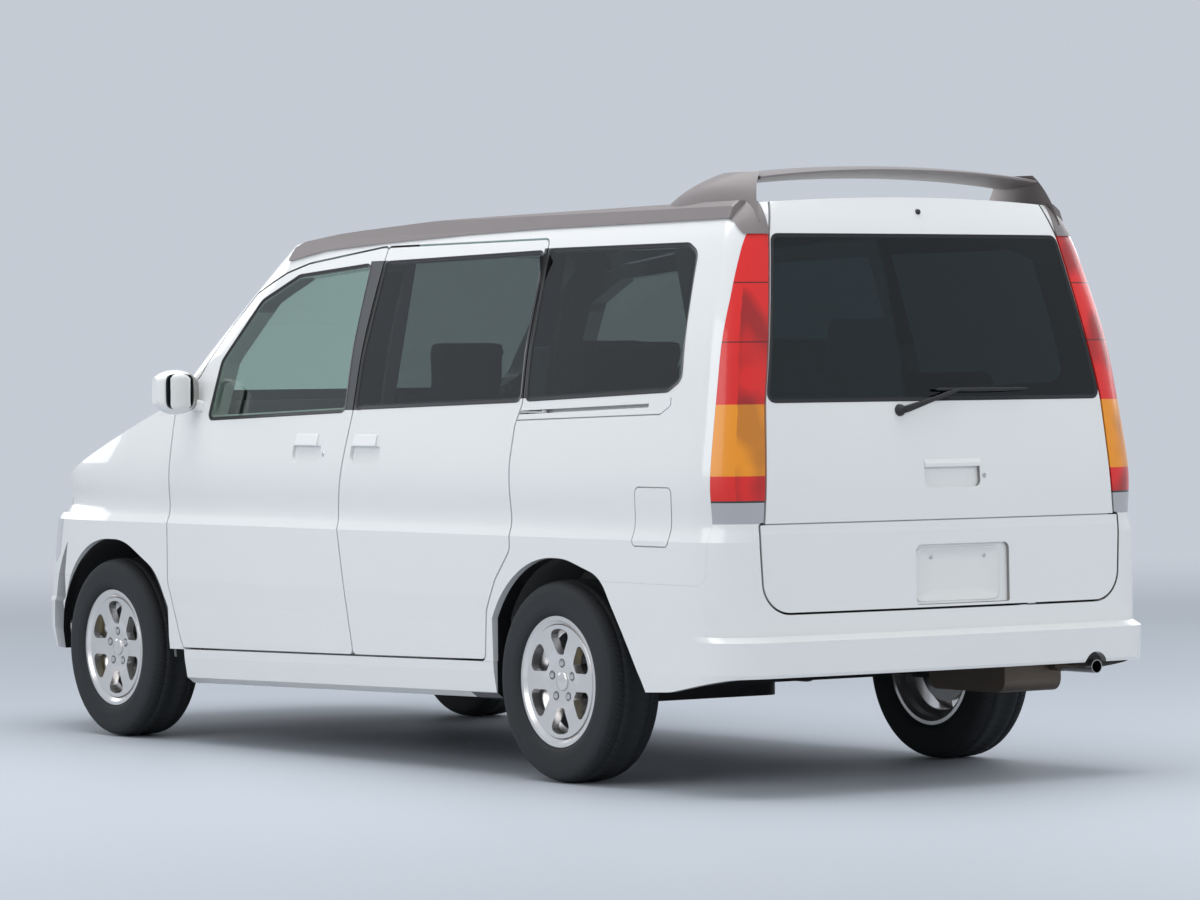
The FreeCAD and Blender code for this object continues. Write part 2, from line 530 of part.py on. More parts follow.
wing_zone = block(1036 + GAP, 1400, 690 + FIT, 900, 300, PILLAR_FOOT_Z - FIT).fuse(
    [block(PILLAR_FOOT_X + FIT, 1400, 690 + FIT, 900, 300, 1300), block(BONNET_REAR, 2500, 520, 900, 300, 1300)])
front_wing = skin_shell.common(wing_zone).cut([bonnet_opening, front_arch, lamp_clear, bumper_clear])
grille_zone = block(2000, 2500, FIT - LAMP_INNER_Y + FIT, LAMP_INNER_Y - 2 * FIT, 690 + FIT, BONNET_FOOT - GAP)
grille = skin_shell.common(grille_zone).cut([block(2000, 2500, -400, 400, z, z + 24) for z in (712, 752, 792)])
intake = prism([(-400, 372, 40), (-430, 520, 40), (430, 520, 40), (400, 372, 40)], "yz", 2000, 2500)
front_bumper = skin_shell.common(front_bumper_zone).cut([front_arch, mirrored(front_arch), intake])
TIP_Y, TIP_Z, TIP_RADIUS = -565, 348, s("exhaust_tip_radius")
tip_space = Part.makeCylinder(TIP_RADIUS + 26, 300, V(-2400, TIP_Y, TIP_Z), V(1, 0, 0)).fuse(
    block(-2400, -2100, TIP_Y - TIP_RADIUS - 26, TIP_Y + TIP_RADIUS + 26, 200, TIP_Z))
under_bumper = prism([(-1600, 0), (-1600, 305), (-1780, 305), (-1955, 313, 200), (-2225, 360, 200), (-2500, 370),
                      (-2500, 0)], "xz", -1000, 1000)
rear_bumper = skin_shell.common(prism(bumper_line, "xz", -1000, 1000, -FIT)).cut(
    [tailgate_opening, rear_arch, mirrored(rear_arch), tip_space, under_bumper])
feature("front_wing_left", front_wing)
feature("front_wing_right", mirrored(front_wing))
feature("headlamps", pair(headlamp))
feature("grille", grille)
feature("front_bumper", front_bumper)
feature("rear_bumper", rear_bumper)

# Side skirts with the inner sill behind them
def sill_profile(x):
    top = sill_top(x)
    foot = top - s("sill_drop")
    shelf = s("floor_z")
    points = [(700, foot + 14), (800, foot + 2), (826, foot + 22), (837, top - 30), (839, top), (762, top),
              (762, shelf), (700, shelf)]
    return Part.Wire([line((x, *a), (x, *b)) for a, b in zip(points, points[1:] + points[:1])])


sill = Part.makeLoft([sill_profile(944), sill_profile(-996)], True, True)
feature("side_sills", pair(sill))

# Seats: one closed solid each, with cushion, backrest and headrest
def seat(x, floor, y, width, height=1):
    """A seat whose front edge is at x: a side profile carried across, on a narrower box base."""
    z = floor + 195
    body = [(x, z, 40), (x + 8, z + 100, 45), (x - 60, z + 128, 60), (x - 430, z + 96, 60), (x - 575, z + 680, 50),
            (x - 680, z + 670, 50), (x - 560, z + 60, 60), (x - 470, z - 8, 30)]
    rest = [(x - 592, z + 660, 0), (x - 606, z + 700, 30), (x - 618, z + 850, 40), (x - 715, z + 845, 40),
            (x - 700, z + 700, 30), (x - 672, z + 655, 0)]
    base = block(x - 480, x - 50, y - width / 2 + 50, y + width / 2 - 50, floor + FIT, z + 20)
    return prism(body, "xz", y - width / 2, y + width / 2).fuse(
        [prism(rest, "xz", y - 130, y + 130), base])


FLOOR, REAR_FLOOR = s("floor_z"), s("rear_floor_z")
SEAT_Y, SEAT_WIDTH = s("seat_y"), s("seat_width")
feature("front_seats", pair(seat(500, FLOOR, SEAT_Y, SEAT_WIDTH)))
feature("middle_seats", pair(seat(-330, FLOOR, SEAT_Y, SEAT_WIDTH)))
bench = seat(-1200, REAR_FLOOR - 60, 0, s("bench_width"))
bench = bench.cut(block(-2400, -900, -900, 900, 0, REAR_FLOOR + FIT))
feature("rear_seat", bench.fuse([prism([(-1792, 1060, 0), (-1806, 1100, 30), (-1818, 1250, 40), (-1915, 1245, 40),
    (-1900, 1100, 30), (-1872, 1055, 0)], "xz", y - 120, y + 120) for y in (-350, 350)]))

# Dashboard across the cabin, with the steering column's socket
WHEEL_POINT = V(640, -SEAT_Y, 990)
COLUMN = V(-math.cos(math.radians(26)), 0, math.sin(math.radians(26)))
dash_line = [(1040 - FIT, 640), (1040 - FIT, 1080, 0), (1000, 1132, 40), (830, 1118, 60), (752, 1040, 60),
             (748, 930, 40), (850, 700, 80), (900, 640, 0)]
dash = prism(dash_line, "xz", -700, 700).cut(Part.makeCylinder(24.5, 150, WHEEL_POINT - COLUMN * 240, COLUMN))
feature("dashboard", dash)

# Floor with the wheelhouses, and the bulkhead in front of it
THICK = s("floor_thickness")
RISER_X = REAR_X + 348
FLOOR_FRONT = 1040 - FIT
floor_profile = [(FLOOR_FRONT, FLOOR - THICK), (FLOOR_FRONT, FLOOR), (RISER_X + THICK, FLOOR),
                 (RISER_X + THICK, REAR_FLOOR), (-2185, REAR_FLOOR), (-2185, REAR_FLOOR - THICK),
                 (RISER_X, REAR_FLOOR - THICK), (RISER_X, FLOOR - THICK)]
SILL_Y = 700
HOUSE_Y = 560
floor_pan = prism(floor_profile, "xz", FIT - SILL_Y, SILL_Y - FIT)
house = cylinder_y(ARCH + LINER + 10, REAR_X, HOUSE_Y, 900, WHEEL_Z).common(
    block(-FAR, RISER_X, 0, 900, REAR_FLOOR - THICK, FAR)).common(clear_of_doors)
hollow = cylinder_y(ARCH + LINER, REAR_X, HOUSE_Y + 10, 900, WHEEL_Z).common(block(-FAR, RISER_X - 10, 0, 900, 0, FAR))
back_panel = block(-2185, -2150, -690, 690, 372, 546).common(seat_of_skin).cut(tip_space)
floor_pan = floor_pan.fuse([house, mirrored(house), back_panel]).cut([hollow, mirrored(hollow)])
floor_pan = floor_pan.removeSplitter()
feature("floor_pan", floor_pan)
bulkhead = prism([(1040, FLOOR - THICK), (1076, FLOOR - THICK), (1076, 1100), (1180, 1125), (1300, 1125), (1300, 1300), (1040, 1300)],
                 "xz", FIT - 690, 690 - FIT).common(seat_of_skin).cut(
                     [block(1000, PILLAR_FOOT_X + FIT, ROOF_SEAM - 2 * FIT, 900, PILLAR_FOOT_Z - 60, 1400),
                      block(1000, PILLAR_FOOT_X + FIT, -900, 2 * FIT - ROOF_SEAM, PILLAR_FOOT_Z - 60, 1400),
                      outer.common(block(1000, 1400, -900, 900, 1195, 1400))])
feature("bulkhead", bulkhead)

# Front frame: inner wings, wheel liners, strut towers, rails, radiator panel and bumper beam
TOWER_Y = 590
BULK = 1076 + FIT
apron = block(BULK, 2085, 440, 452, 340, 800).common(seat_of_skin)
liner = cylinder_y(ARCH + LINER + 10, FRONT_X, 452, 900, WHEEL_Z).cut(
    cylinder_y(ARCH + LINER, FRONT_X, 400, 950, WHEEL_Z)).common(block(BULK, 1900, 0, 900, 400, 900)).common(seat_of_skin)
tower = Part.makeCylinder(88, 120, V(FRONT_X, TOWER_Y, 700)).cut(
    Part.makeCylinder(76, 108, V(FRONT_X, TOWER_Y, 700)))
liner = liner.cut(Part.makeCylinder(76, 200, V(FRONT_X, TOWER_Y, 600)))
frame_half = apron.fuse([liner, tower, block(BULK, 2160, 396, 440, 430, 530),
                         block(1290, 1350, 396, 440, 285 + FIT, 430), block(1570, 1630, 396, 440, 285 + FIT, 430)])
radiator_panel = block(2060, 2085, -452, 452, 340, 800).cut(block(2000, 2100, -380, 380, 400, 740))
beam = block(2150, 2198, -480, 480, 440, 540)
front_frame = radiator_panel.fuse([frame_half, mirrored(frame_half), beam]).removeSplitter()
feature("front_frame", front_frame)
engine = doc.addObject("Part::Box", "engine_block")
for prop, text in (("Length", "460"), ("Width", "Sizes.engine_width"),
                   ("Height", "Sizes.engine_top - Sizes.subframe_top - Sizes.fit_gap"), ("Placement.Base.x", "1500"),
                   ("Placement.Base.y", "-Sizes.engine_width/2"),
                   ("Placement.Base.z", "Sizes.subframe_top + Sizes.fit_gap")):
    engine.setExpression(prop, text)
doc.recompute()
nodes.append(engine)

# Front suspension: subframe, lower arms, struts with springs
STEER_Y = s("steer_axis_y")
PIN = 11
arm = prism([(1300, 380), (1600, 380), (FRONT_X + 20, STEER_Y - 14), (FRONT_X + 14, STEER_Y + 18, 12),
             (FRONT_X - 14, STEER_Y + 18, 12), (FRONT_X - 20, STEER_Y - 14)], "xy", 222, 246)
strut = Part.makeCylinder(24, 380, V(FRONT_X, TOWER_Y, 425)).fuse(
    [Part.makeCylinder(58, 808 - FIT - 655, V(FRONT_X, TOWER_Y, 655)),
     prism([(FRONT_X - 22, TOWER_Y), (FRONT_X + 22, TOWER_Y), (FRONT_X + 16, STEER_Y + 14, 10),
            (FRONT_X - 16, STEER_Y + 14, 10)], "xy", 425, 447),
     Part.makeCylinder(PIN, 20, V(FRONT_X, STEER_Y, 405))])
arm = arm.fuse(Part.makeCylinder(PIN, 20, V(FRONT_X, STEER_Y, 246)))
subframe = block(1280, 1640, -440, 440, 215, 285).cut(block(1380, 1540, -300, 300, 200, 300)).fuse([arm, mirrored(arm)])
feature("front_suspension", Part.makeCompound([subframe, strut, mirrored(strut)]))


def hub_carrier(x, y, caliper_side):
    """Spindle and brake caliper on the left side, at axle line x. The disc turns in the caliper's slot."""
    track = s("half_track")
    spindle = cylinder_y(s("hub_bore_radius") - RUN, x, y, track + 62, WHEEL_Z)
    a, b = sorted((x + caliper_side * 88, x + caliper_side * 147))
    caliper = block(a, b, track - 52, track + 24, WHEEL_Z - 45, WHEEL_Z + 45)
    slot = block(a - 1 if caliper_side > 0 else x - 135, x + 135 if caliper_side > 0 else b + 1,
                 track - 25, track + 9, WHEEL_Z - 60, WHEEL_Z + 60)
    low, high = sorted((x, x + caliper_side * 92))
    bracket = block(low, high, track - 70, track - 40, WHEEL_Z - 26, WHEEL_Z + 26)
    return spindle.fuse([caliper.cut(slot), bracket])


knuckle = block(FRONT_X - 30, FRONT_X + 30, 668, 706, 252, 419).fuse(hub_carrier(FRONT_X, 700, 1))
knuckle = knuckle.cut(Part.makeCylinder(PIN + s("steer_axis_clearance"), 400, V(FRONT_X, STEER_Y, 100)).common(
    block(1300, 1600, 600, 800, 240, 267).fuse(block(1300, 1600, 600, 800, 404, 450))))
feature("knuckle_left", knuckle)
feature("knuckle_right", mirrored(knuckle))

# Rear axle: torsion beam, trailing arms, springs and hub carriers
trail = block(REAR_X - 40, RISER_X - FIT, 590, 634, 280, 345)
rear_half = trail.fuse([block(REAR_X - 40, REAR_X + 40, 620, 700, 270, 366).cut(block(REAR_X - 200, REAR_X + 200, 636, 900, 200, 270)),
                        hub_carrier(REAR_X, 660, -1),
                        Part.makeCylinder(48, REAR_FLOOR - THICK - FIT - 300, V(REAR_X + 60, 540, 300)),
                        block(REAR_X + 20, REAR_X + 110, 500, 600, 290, 330)])
torsion_beam = block(REAR_X + 130, REAR_X + 200, -600, 600, 270, 330).cut(block(REAR_X + 140, REAR_X + 190, -580, 580, 200, 318))
feature("rear_axle", torsion_beam.fuse([rear_half, mirrored(rear_half)]))

# Fuel tank and exhaust under the floor
feature("fuel_tank", prism([(-850, -420, 60), (-250, -420, 60), (-250, 420, 60), (-850, 420, 60)], "xy", 200,
                           FLOOR - THICK - FIT))


def pipe(points, radius, bend):
    """A round tube along straight runs joined by tangent arcs."""
    edges, last = [], V(*points[0])
    for before, here, after in zip(points, points[1:], points[2:]):
        before, here, after = V(*before), V(*here), V(*after)
        u, w = (before - here).normalize(), (after - here).normalize()
        half_turn = u.getAngle(w) / 2
        back = bend / math.tan(half_turn)
        centre = here + (u + w).normalize() * (bend / math.sin(half_turn))
        start, end = here + u * back, here + w * back
        edges += [Part.makeLine(last, start),
                  Part.Arc(start, centre + (here - centre).normalize() * bend, end).toShape()]
        last = end
    edges.append(Part.makeLine(last, V(*points[-1])))
    path = Part.Wire(edges)
    direction = (V(*points[1]) - V(*points[0])).normalize()
    ring = Part.Wire(Part.makeCircle(radius, V(*points[0]), direction))
    return path.makePipeShell([ring], True, False)


exhaust = pipe([(1230, -260, 250), (1050, -470, 250), (400, -520, 262), (-860, -520, 262), (-1040, -470, 300),
                (-1130, -460, 388), (-1400, -460, 388), (-1720, -470, 345)], s("exhaust_radius"), 60)
muffler = prism([(-2080, 262, 40), (-1700, 262, 40), (-1700, 400, 40), (-2080, 400, 40)], "xz", -600, -370)
hangers = [block(-1800, -1760, -500, -460, 380, REAR_FLOOR - THICK - FIT), block(-2030, -1990, -500, -460, 380,
           REAR_FLOOR - THICK - FIT), block(100, 130, -530, -510, 270, FLOOR - THICK - FIT)]
tip = Part.makeCylinder(TIP_RADIUS, 230, V(-2296, TIP_Y, TIP_Z), V(1, 0, 0)).cut(
    Part.makeCylinder(TIP_RADIUS - 2.5, 180, V(-2300, TIP_Y, TIP_Z), V(1, 0, 0)))
feature("exhaust", exhaust.fuse([muffler, tip] + hangers))

# Steering wheel on its column
rim_circle = Part.makeTorus(s("steering_radius"), 14)
spokes = [Part.makeBox(24, 170, 14, V(-12, 10, -20)).rotated(V(), V(0, 0, 1), angle) for angle in (0, 120, 240)]
steering = rim_circle.fuse([Part.makeCylinder(58, 50, V(0, 0, -52)), Part.makeCylinder(24, 175, V(0, 0, -220))] + spokes)
steering.Placement = Placement(WHEEL_POINT, Rotation(V(0, 0, 1), COLUMN))
feature("steering_wheel", steering)


# Wheels and tyres: revolved bodies with their features bound to the sheet
def cell(text):
    return text.replace("@", "Sizes.")


def sketch_on(body, plane, name):
    sketch = body.newObject("Sketcher::SketchObject", name)
    origin = [f for f in body.Origin.OriginFeatures if f.Role == plane][0]
    sketch.AttachmentSupport = [(origin, "")]
    sketch.MapMode = "FlatFace"
    return sketch


def polygon(sketch, points):
    """Closed lines through points. Each coordinate is a cell expression that drives a constraint."""
    values = [(evaluate(u), evaluate(v)) for u, v in points]
    count = len(points)
    for i in range(count):
        a, b = values[i], values[(i + 1) % count]
        sketch.addGeometry(Part.LineSegment(V(a[0], a[1], 0), V(b[0], b[1], 0)), False)
    for i in range(count):
        sketch.addConstraint(Sketcher.Constraint("Coincident", i, 2, (i + 1) % count, 1))
    for i, (u, v) in enumerate(points):
        for kind, text, value in (("DistanceX", u, values[i][0]), ("DistanceY", v, values[i][1])):
            number = sketch.addConstraint(Sketcher.Constraint(kind, -1, 1, i, 1, value))
            sketch.setExpression("Constraints[%d]" % number, cell(text))


def evaluate(text):
    """The value of a cell expression."""
    return float(sheet.evalExpression(cell(text)))


def revolved(body, plane, name, points):
    sketch = sketch_on(body, plane, name + "_profile")
    polygon(sketch, points)
    turn = body.newObject("PartDesign::Revolution", name)
    turn.Profile = sketch
    turn.ReferenceAxis = (sketch, ["H_Axis"])
    turn.Angle = 360
    doc.recompute()
    return turn


BARREL = [("-@rim_width/2", "@rim_radius"), ("-@rim_width/2 + 9", "@rim_radius"), ("-@rim_width/2 + 12", "@rim_seat_radius"),
          ("-48", "@rim_seat_radius - 4"), ("-32", "@rim_well_radius"), ("14", "@rim_well_radius"),
          ("30", "@rim_seat_radius - 4"), ("@rim_width/2 - 12", "@rim_seat_radius"), ("@rim_width/2 - 9", "@rim_radius"),
          ("@rim_width/2", "@rim_radius"), ("@rim_width/2", "@rim_radius - 12"), ("@rim_width/2 - 10", "@rim_seat_radius - @rim_wall"),
          ("32", "@rim_seat_radius - 4 - @rim_wall"), ("16", "@rim_well_radius - @rim_wall"),
          ("-34", "@rim_well_radius - @rim_wall"), ("-50", "@rim_seat_radius - 4 - @rim_wall"),
          ("-@rim_width/2 + 10", "@rim_seat_radius - @rim_wall"), ("-@rim_width/2", "@rim_radius - 12")]
SPIDER = [("38", "@hub_bore_radius"), ("66", "@hub_bore_radius"), ("68", "70"), ("74", "100"),
          ("78", "@rim_seat_radius - 12"), ("60", "@rim_seat_radius - 8"), ("50", "@rim_seat_radius - 8"), ("46", "100"), ("38", "70")]
BRAKE = [("4", "@hub_bore_radius"), ("38.1", "@hub_bore_radius"), ("38.1", "72"), ("4", "72"), ("4", "@disc_radius"),
         ("4 - @disc_thickness", "@disc_radius"), ("4 - @disc_thickness", "72"), ("4 - @disc_thickness + 8", "@hub_bore_radius")]


def wheel(name, x, side):
    """One wheel with its brake disc. The outer face looks to the car's side."""
    body = doc.addObject("PartDesign::Body", name)
    revolved(body, "YZ_Plane", name + "_barrel", BARREL)
    revolved(body, "YZ_Plane", name + "_spider", SPIDER)
    revolved(body, "YZ_Plane", name + "_brake", BRAKE)
    window = sketch_on(body, "XZ_Plane", name + "_window_outline")
    window.AttachmentOffset = Placement(V(0, 0, -39), Rotation())
    outline = [(-15, 84, 13), (15, 84, 13), (56, 153, 19), (0, 170, 100), (-56, 153, 19)]
    for edge in rounded_wire(outline, "xy", 0).Edges:
        window.addGeometry(edge.Curve.trim(edge.FirstParameter, edge.LastParameter), False)
    cut = body.newObject("PartDesign::Pocket", name + "_window")
    cut.Profile = window
    cut.Type = 0
    cut.Length = 60
    cut.Reversed = False
    doc.recompute()
    y_axis = [f for f in body.Origin.OriginFeatures if f.Role == "Y_Axis"][0]
    ring = body.newObject("PartDesign::PolarPattern", name + "_windows")
    ring.Originals = [cut]
    ring.Axis = (y_axis, [""])
    ring.Angle = 360
    ring.setExpression("Occurrences", "Sizes.spoke_count")
    body.Tip = ring
    doc.recompute()
    nut_circle = sketch_on(body, "XZ_Plane", name + "_nut_outline")
    nut_circle.AttachmentOffset = Placement(V(0, 0, -56), Rotation())
    nut_circle.addGeometry(Part.Circle(V(0, s("stud_circle") / 2, 0), V(0, 0, 1), s("nut_pocket_radius")), False)
    pocket = body.newObject("PartDesign::Pocket", name + "_nut_pocket")
    pocket.Profile = nut_circle
    pocket.Length = 30
    doc.recompute()
    nuts = body.newObject("PartDesign::PolarPattern", name + "_nut_pockets")
    nuts.Originals = [pocket]
    nuts.Axis = (y_axis, [""])
    nuts.Angle = 360
    nuts.Occurrences = 5
    body.Tip = nuts
    doc.recompute()
    body.Label = name
    body.Placement = Placement(V(x, side * s("half_track"), WHEEL_Z), Rotation(V(0, 0, 1), 0 if side > 0 else 180))
    nodes.append(body)


TYRE = [("-@rim_width/2 + 13", "@rim_seat_radius + 0.3"), ("@rim_width/2 - 13", "@rim_seat_radius + 0.3"),
        ("@rim_width/2 - 10", "@rim_seat_radius + 18"), ("@tyre_width/2 - 3", "@rim_seat_radius + 34"),
        ("@tyre_width/2", "@rim_seat_radius + 62"), ("@tyre_width/2 - 5", "@rim_seat_radius + 92"),
        ("@tyre_width/2 - 18", "@tyre_radius - 12"), ("@tyre_width/2 - 32", "@tyre_radius - 2"), ("@tyre_width/2 - 50", "@tyre_radius"),
        ("50 - @tyre_width/2", "@tyre_radius"), ("32 - @tyre_width/2", "@tyre_radius - 2"), ("18 - @tyre_width/2", "@tyre_radius - 12"),
        ("5 - @tyre_width/2", "@rim_seat_radius + 92"), ("-@tyre_width/2", "@rim_seat_radius + 62"),
        ("3 - @tyre_width/2", "@rim_seat_radius + 34"), ("-@rim_width/2 + 10", "@rim_seat_radius + 18")]
for place, x in (("front", FRONT_X), ("rear", REAR_X)):
    for hand, side in (("left", 1), ("right", -1)):
        wheel("wheel_%s_%s" % (place, hand), x, side)
        name = "tyre_%s_%s" % (place, hand)
        tyre = doc.addObject("PartDesign::Body", name)
        revolved(tyre, "YZ_Plane", name + "_ring", TYRE)
        tyre.Label = name
        tyre.Placement = Placement(V(x, side * s("half_track"), WHEEL_Z), Rotation())
        nodes.append(tyre)
doc.recompute()

os.makedirs("parts", exist_ok=True)
faults = [obj.Name for obj in doc.Objects if "Invalid" in obj.State or "Error" in obj.State]
faults += [obj.Label for obj in nodes if obj.Shape.isNull() or not obj.Shape.isValid()]
if faults:
    raise RuntimeError("Broken objects: " + ", ".join(faults))
for obj in nodes:
    obj.Shape.exportStep("parts/%s.step" % obj.Label)
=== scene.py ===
import math

import bmesh
import bpy
import numpy as np
from mathutils import Matrix, Vector


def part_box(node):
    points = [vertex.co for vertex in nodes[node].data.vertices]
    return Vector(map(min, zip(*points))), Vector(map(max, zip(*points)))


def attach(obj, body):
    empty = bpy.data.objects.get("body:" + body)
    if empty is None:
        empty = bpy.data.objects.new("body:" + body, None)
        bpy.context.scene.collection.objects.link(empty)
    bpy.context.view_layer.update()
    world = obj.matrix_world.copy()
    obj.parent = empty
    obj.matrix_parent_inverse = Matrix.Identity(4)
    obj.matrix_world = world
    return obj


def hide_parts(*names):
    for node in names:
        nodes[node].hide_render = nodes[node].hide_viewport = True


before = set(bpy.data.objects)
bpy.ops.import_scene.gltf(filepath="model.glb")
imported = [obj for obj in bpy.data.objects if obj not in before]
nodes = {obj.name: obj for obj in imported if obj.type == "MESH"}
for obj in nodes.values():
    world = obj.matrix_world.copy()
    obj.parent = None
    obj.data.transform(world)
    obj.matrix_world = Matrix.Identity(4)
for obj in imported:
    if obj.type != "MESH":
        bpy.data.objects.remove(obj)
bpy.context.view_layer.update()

# The camera stands behind the left rear corner of the van, just above its belt line, with a long
# lens, as the photograph was taken. Its frame is 1200 by 900.
CAMERA_PLACE = Vector((-14.657, 9.967, 1.301))
CAMERA_YAW, CAMERA_PITCH, CAMERA_ROLL = math.radians(-34.96), math.radians(-0.92), math.radians(-0.58)
camera_data = bpy.data.cameras.new("camera")
camera_data.lens, camera_data.sensor_width = 155.0, 36.0
camera_data.clip_end = 200.0
camera = bpy.data.objects.new("camera", camera_data)
bpy.context.scene.collection.objects.link(camera)
ahead = Vector((math.cos(CAMERA_PITCH) * math.cos(CAMERA_YAW), math.cos(CAMERA_PITCH) * math.sin(CAMERA_YAW),
                math.sin(CAMERA_PITCH)))
level_right = ahead.cross(Vector((0, 0, 1))).normalized()
level_up = level_right.cross(ahead)
camera_right = level_right * math.cos(CAMERA_ROLL) + level_up * math.sin(CAMERA_ROLL)
camera_up = level_up * math.cos(CAMERA_ROLL) - level_right * math.sin(CAMERA_ROLL)
camera.matrix_world = Matrix.Translation(CAMERA_PLACE) @ Matrix(
    (camera_right, camera_up, -ahead)).transposed().to_4x4()
bpy.context.scene.camera = camera
bpy.context.scene.view_settings.view_transform = "Standard"


# The studio is a pale floor that runs into a pale backdrop, and soft lamps: one large panel above, one
# on each side, one in front of the van and one behind it.
def put(tree, kind, inputs=None, **settings):
    """Adds a shader node, with its settings, and its inputs as values or as sockets to link."""
    node = tree.nodes.new(kind)
    for name, value in settings.items():
        setattr(node, name, value)
    for name, value in (inputs or {}).items():
        if isinstance(value, bpy.types.NodeSocket):
            tree.links.new(value, node.inputs[name])
        else:
            node.inputs[name].default_value = value
    return node


def maths(tree, operation, first, second=0.0, third=0.0):
    """The output of a Math node on two or three values or sockets."""
    return put(tree, "ShaderNodeMath", {0: first, 1: second, 2: third}, operation=operation).outputs[0]


def blended(tree, share, first, second):
    """The output of a colour mix, from the first colour at 0 to the second at 1."""
    node = put(tree, "ShaderNodeMix", {"Factor": share}, data_type="RGBA")
    for place, value in ((6, first), (7, second)):
        if isinstance(value, bpy.types.NodeSocket):
            tree.links.new(value, node.inputs[place])
        else:
            node.inputs[place].default_value = (*value[:3], 1.0)
    return node.outputs[2]


def seen_directly(tree):
    """One for rays from the camera, a mirror or glass, and zero for the light that falls on things."""
    path = put(tree, "ShaderNodeLightPath")
    seen = maths(tree, "MAXIMUM", path.outputs["Is Camera Ray"], path.outputs["Is Glossy Ray"])
    return maths(tree, "MAXIMUM", seen, path.outputs["Is Transmission Ray"])


BACKDROP = (0.56, 0.60, 0.66)
FLOOR_COLOUR = (0.50, 0.535, 0.585)
AMBIENT = 0.55
world = bpy.data.worlds.new("studio")
bpy.context.scene.world = world
world.use_nodes = True
tree = world.node_tree
tree.nodes.clear()
sky_colour = blended(tree, seen_directly(tree), (0.86, 0.93, 1.0), BACKDROP)
brightness = put(tree, "ShaderNodeMapRange",
                 {"Value": seen_directly(tree), "To Min": AMBIENT, "To Max": 1.0}).outputs[0]
sky = put(tree, "ShaderNodeBackground", {"Color": sky_colour, "Strength": brightness})
put(tree, "ShaderNodeOutputWorld", {"Surface": sky.outputs[0]})

FLOOR_HALF = 60.0
floor_mesh = bpy.data.meshes.new("floor")
floor_corners = [(x * FLOOR_HALF, y * FLOOR_HALF, 0.0) for x, y in ((-1, -1), (1, -1), (1, 1), (-1, 1))]
floor_mesh.from_pydata(floor_corners, [], [(0, 1, 2, 3)])
floor = bpy.data.objects.new("floor", floor_mesh)
bpy.context.scene.collection.objects.link(floor)
floor_paint = bpy.data.materials.new("studio_floor")
floor_paint.use_nodes = True
tree = floor_paint.node_tree
tree.nodes["Principled BSDF"].inputs["Base Color"].default_value = (*FLOOR_COLOUR, 1.0)
tree.nodes["Principled BSDF"].inputs["Roughness"].default_value = 0.55
FADE_NEAR, FADE_FAR = 4.0, 18.0
far_off = put(tree, "ShaderNodeVectorMath", {0: put(tree, "ShaderNodeTexCoord").outputs["Object"]},
              operation="LENGTH")
fade = put(tree, "ShaderNodeMapRange",
           {"Value": far_off.outputs["Value"], "From Min": FADE_NEAR, "From Max": FADE_FAR},
           interpolation_type="SMOOTHSTEP")
haze = put(tree, "ShaderNodeEmission", {"Color": (*BACKDROP, 1.0)})
hazy = maths(tree, "MULTIPLY", fade.outputs[0], seen_directly(tree))
floor_mix = put(tree, "ShaderNodeMixShader",
                {0: hazy, 1: tree.nodes["Principled BSDF"].outputs[0], 2: haze.outputs[0]})
tree.links.new(floor_mix.outputs[0], tree.nodes["Material Output"].inputs["Surface"])
floor.data.materials.append(floor_paint)

for name, place, target, width, height, power in (
        ("top_panel", (-0.6, 0.6, 5.6), (0.0, 0.0, 0.8), 7.0, 4.5, 270.0),
        ("left_panel", (-1.5, 7.5, 3.4), (0.0, 0.0, 0.9), 7.0, 3.2, 150.0),
        ("rear_panel", (-8.0, -1.5, 3.2), (-1.0, 0.0, 1.0), 5.0, 3.0, 110.0),
        ("right_panel", (1.0, -8.0, 3.4), (0.0, 0.0, 0.9), 7.0, 3.0, 90.0),
        ("front_panel", (9.0, 1.5, 3.2), (1.5, 0.0, 0.9), 5.0, 3.0, 90.0)):
    lamp_data = bpy.data.lights.new(name, "AREA")
    lamp_data.shape, lamp_data.size, lamp_data.size_y, lamp_data.energy = "RECTANGLE", width, height, power
    lamp = bpy.data.objects.new(name, lamp_data)
    bpy.context.scene.collection.objects.link(lamp)
    lamp.location = place
    lamp.visible_glossy = name != "rear_panel"
    lamp.rotation_euler = (Vector(target) - Vector(place)).to_track_quat("-Z", "Y").to_euler()


# The body is pressed steel with plastic bumpers, all in one solid white. It is spotless, with a faint
# unevenness of the lacquer. Faces towards the cabin show its grey trim, the pillars behind both doors a
# black band, and the arches a black lining, which also takes a strip of the front bumper's corners.
def new_group(name, inputs, outputs):
    """A shader node group with its sockets, given as (name, kind, default) and (name, kind)."""
    group = bpy.data.node_groups.new(name, "ShaderNodeTree")
    for label, kind, default in inputs:
        socket = group.interface.new_socket(label, in_out="INPUT", socket_type=kind)
        socket.default_value = default
    for label, kind in outputs:
        group.interface.new_socket(label, in_out="OUTPUT", socket_type=kind)
    return group, put(group, "NodeGroupInput"), put(group, "NodeGroupOutput")


def use_group(tree, group, **inputs):
    """Places a group in a material, with its inputs named in words joined by underscores."""
    node = put(tree, "ShaderNodeGroup", node_tree=group)
    for name, value in inputs.items():
        socket = node.inputs[name.replace("_", " ")]
        if isinstance(value, bpy.types.NodeSocket):
            tree.links.new(value, socket)
        else:
            socket.default_value = value
    return node


def new_material(name, **inputs):
    """A material with its Principled shader, the shader's plain values set on its own sockets."""
    material = bpy.data.materials.new(name)
    material.use_nodes = True
    shader = material.node_tree.nodes["Principled BSDF"]
    for label, value in inputs.items():
        socket = shader.inputs[label.replace("_", " ")]
        socket.default_value = (*value, 1.0) if isinstance(value, tuple) and len(value) == 3 else value
    return material, material.node_tree, shader


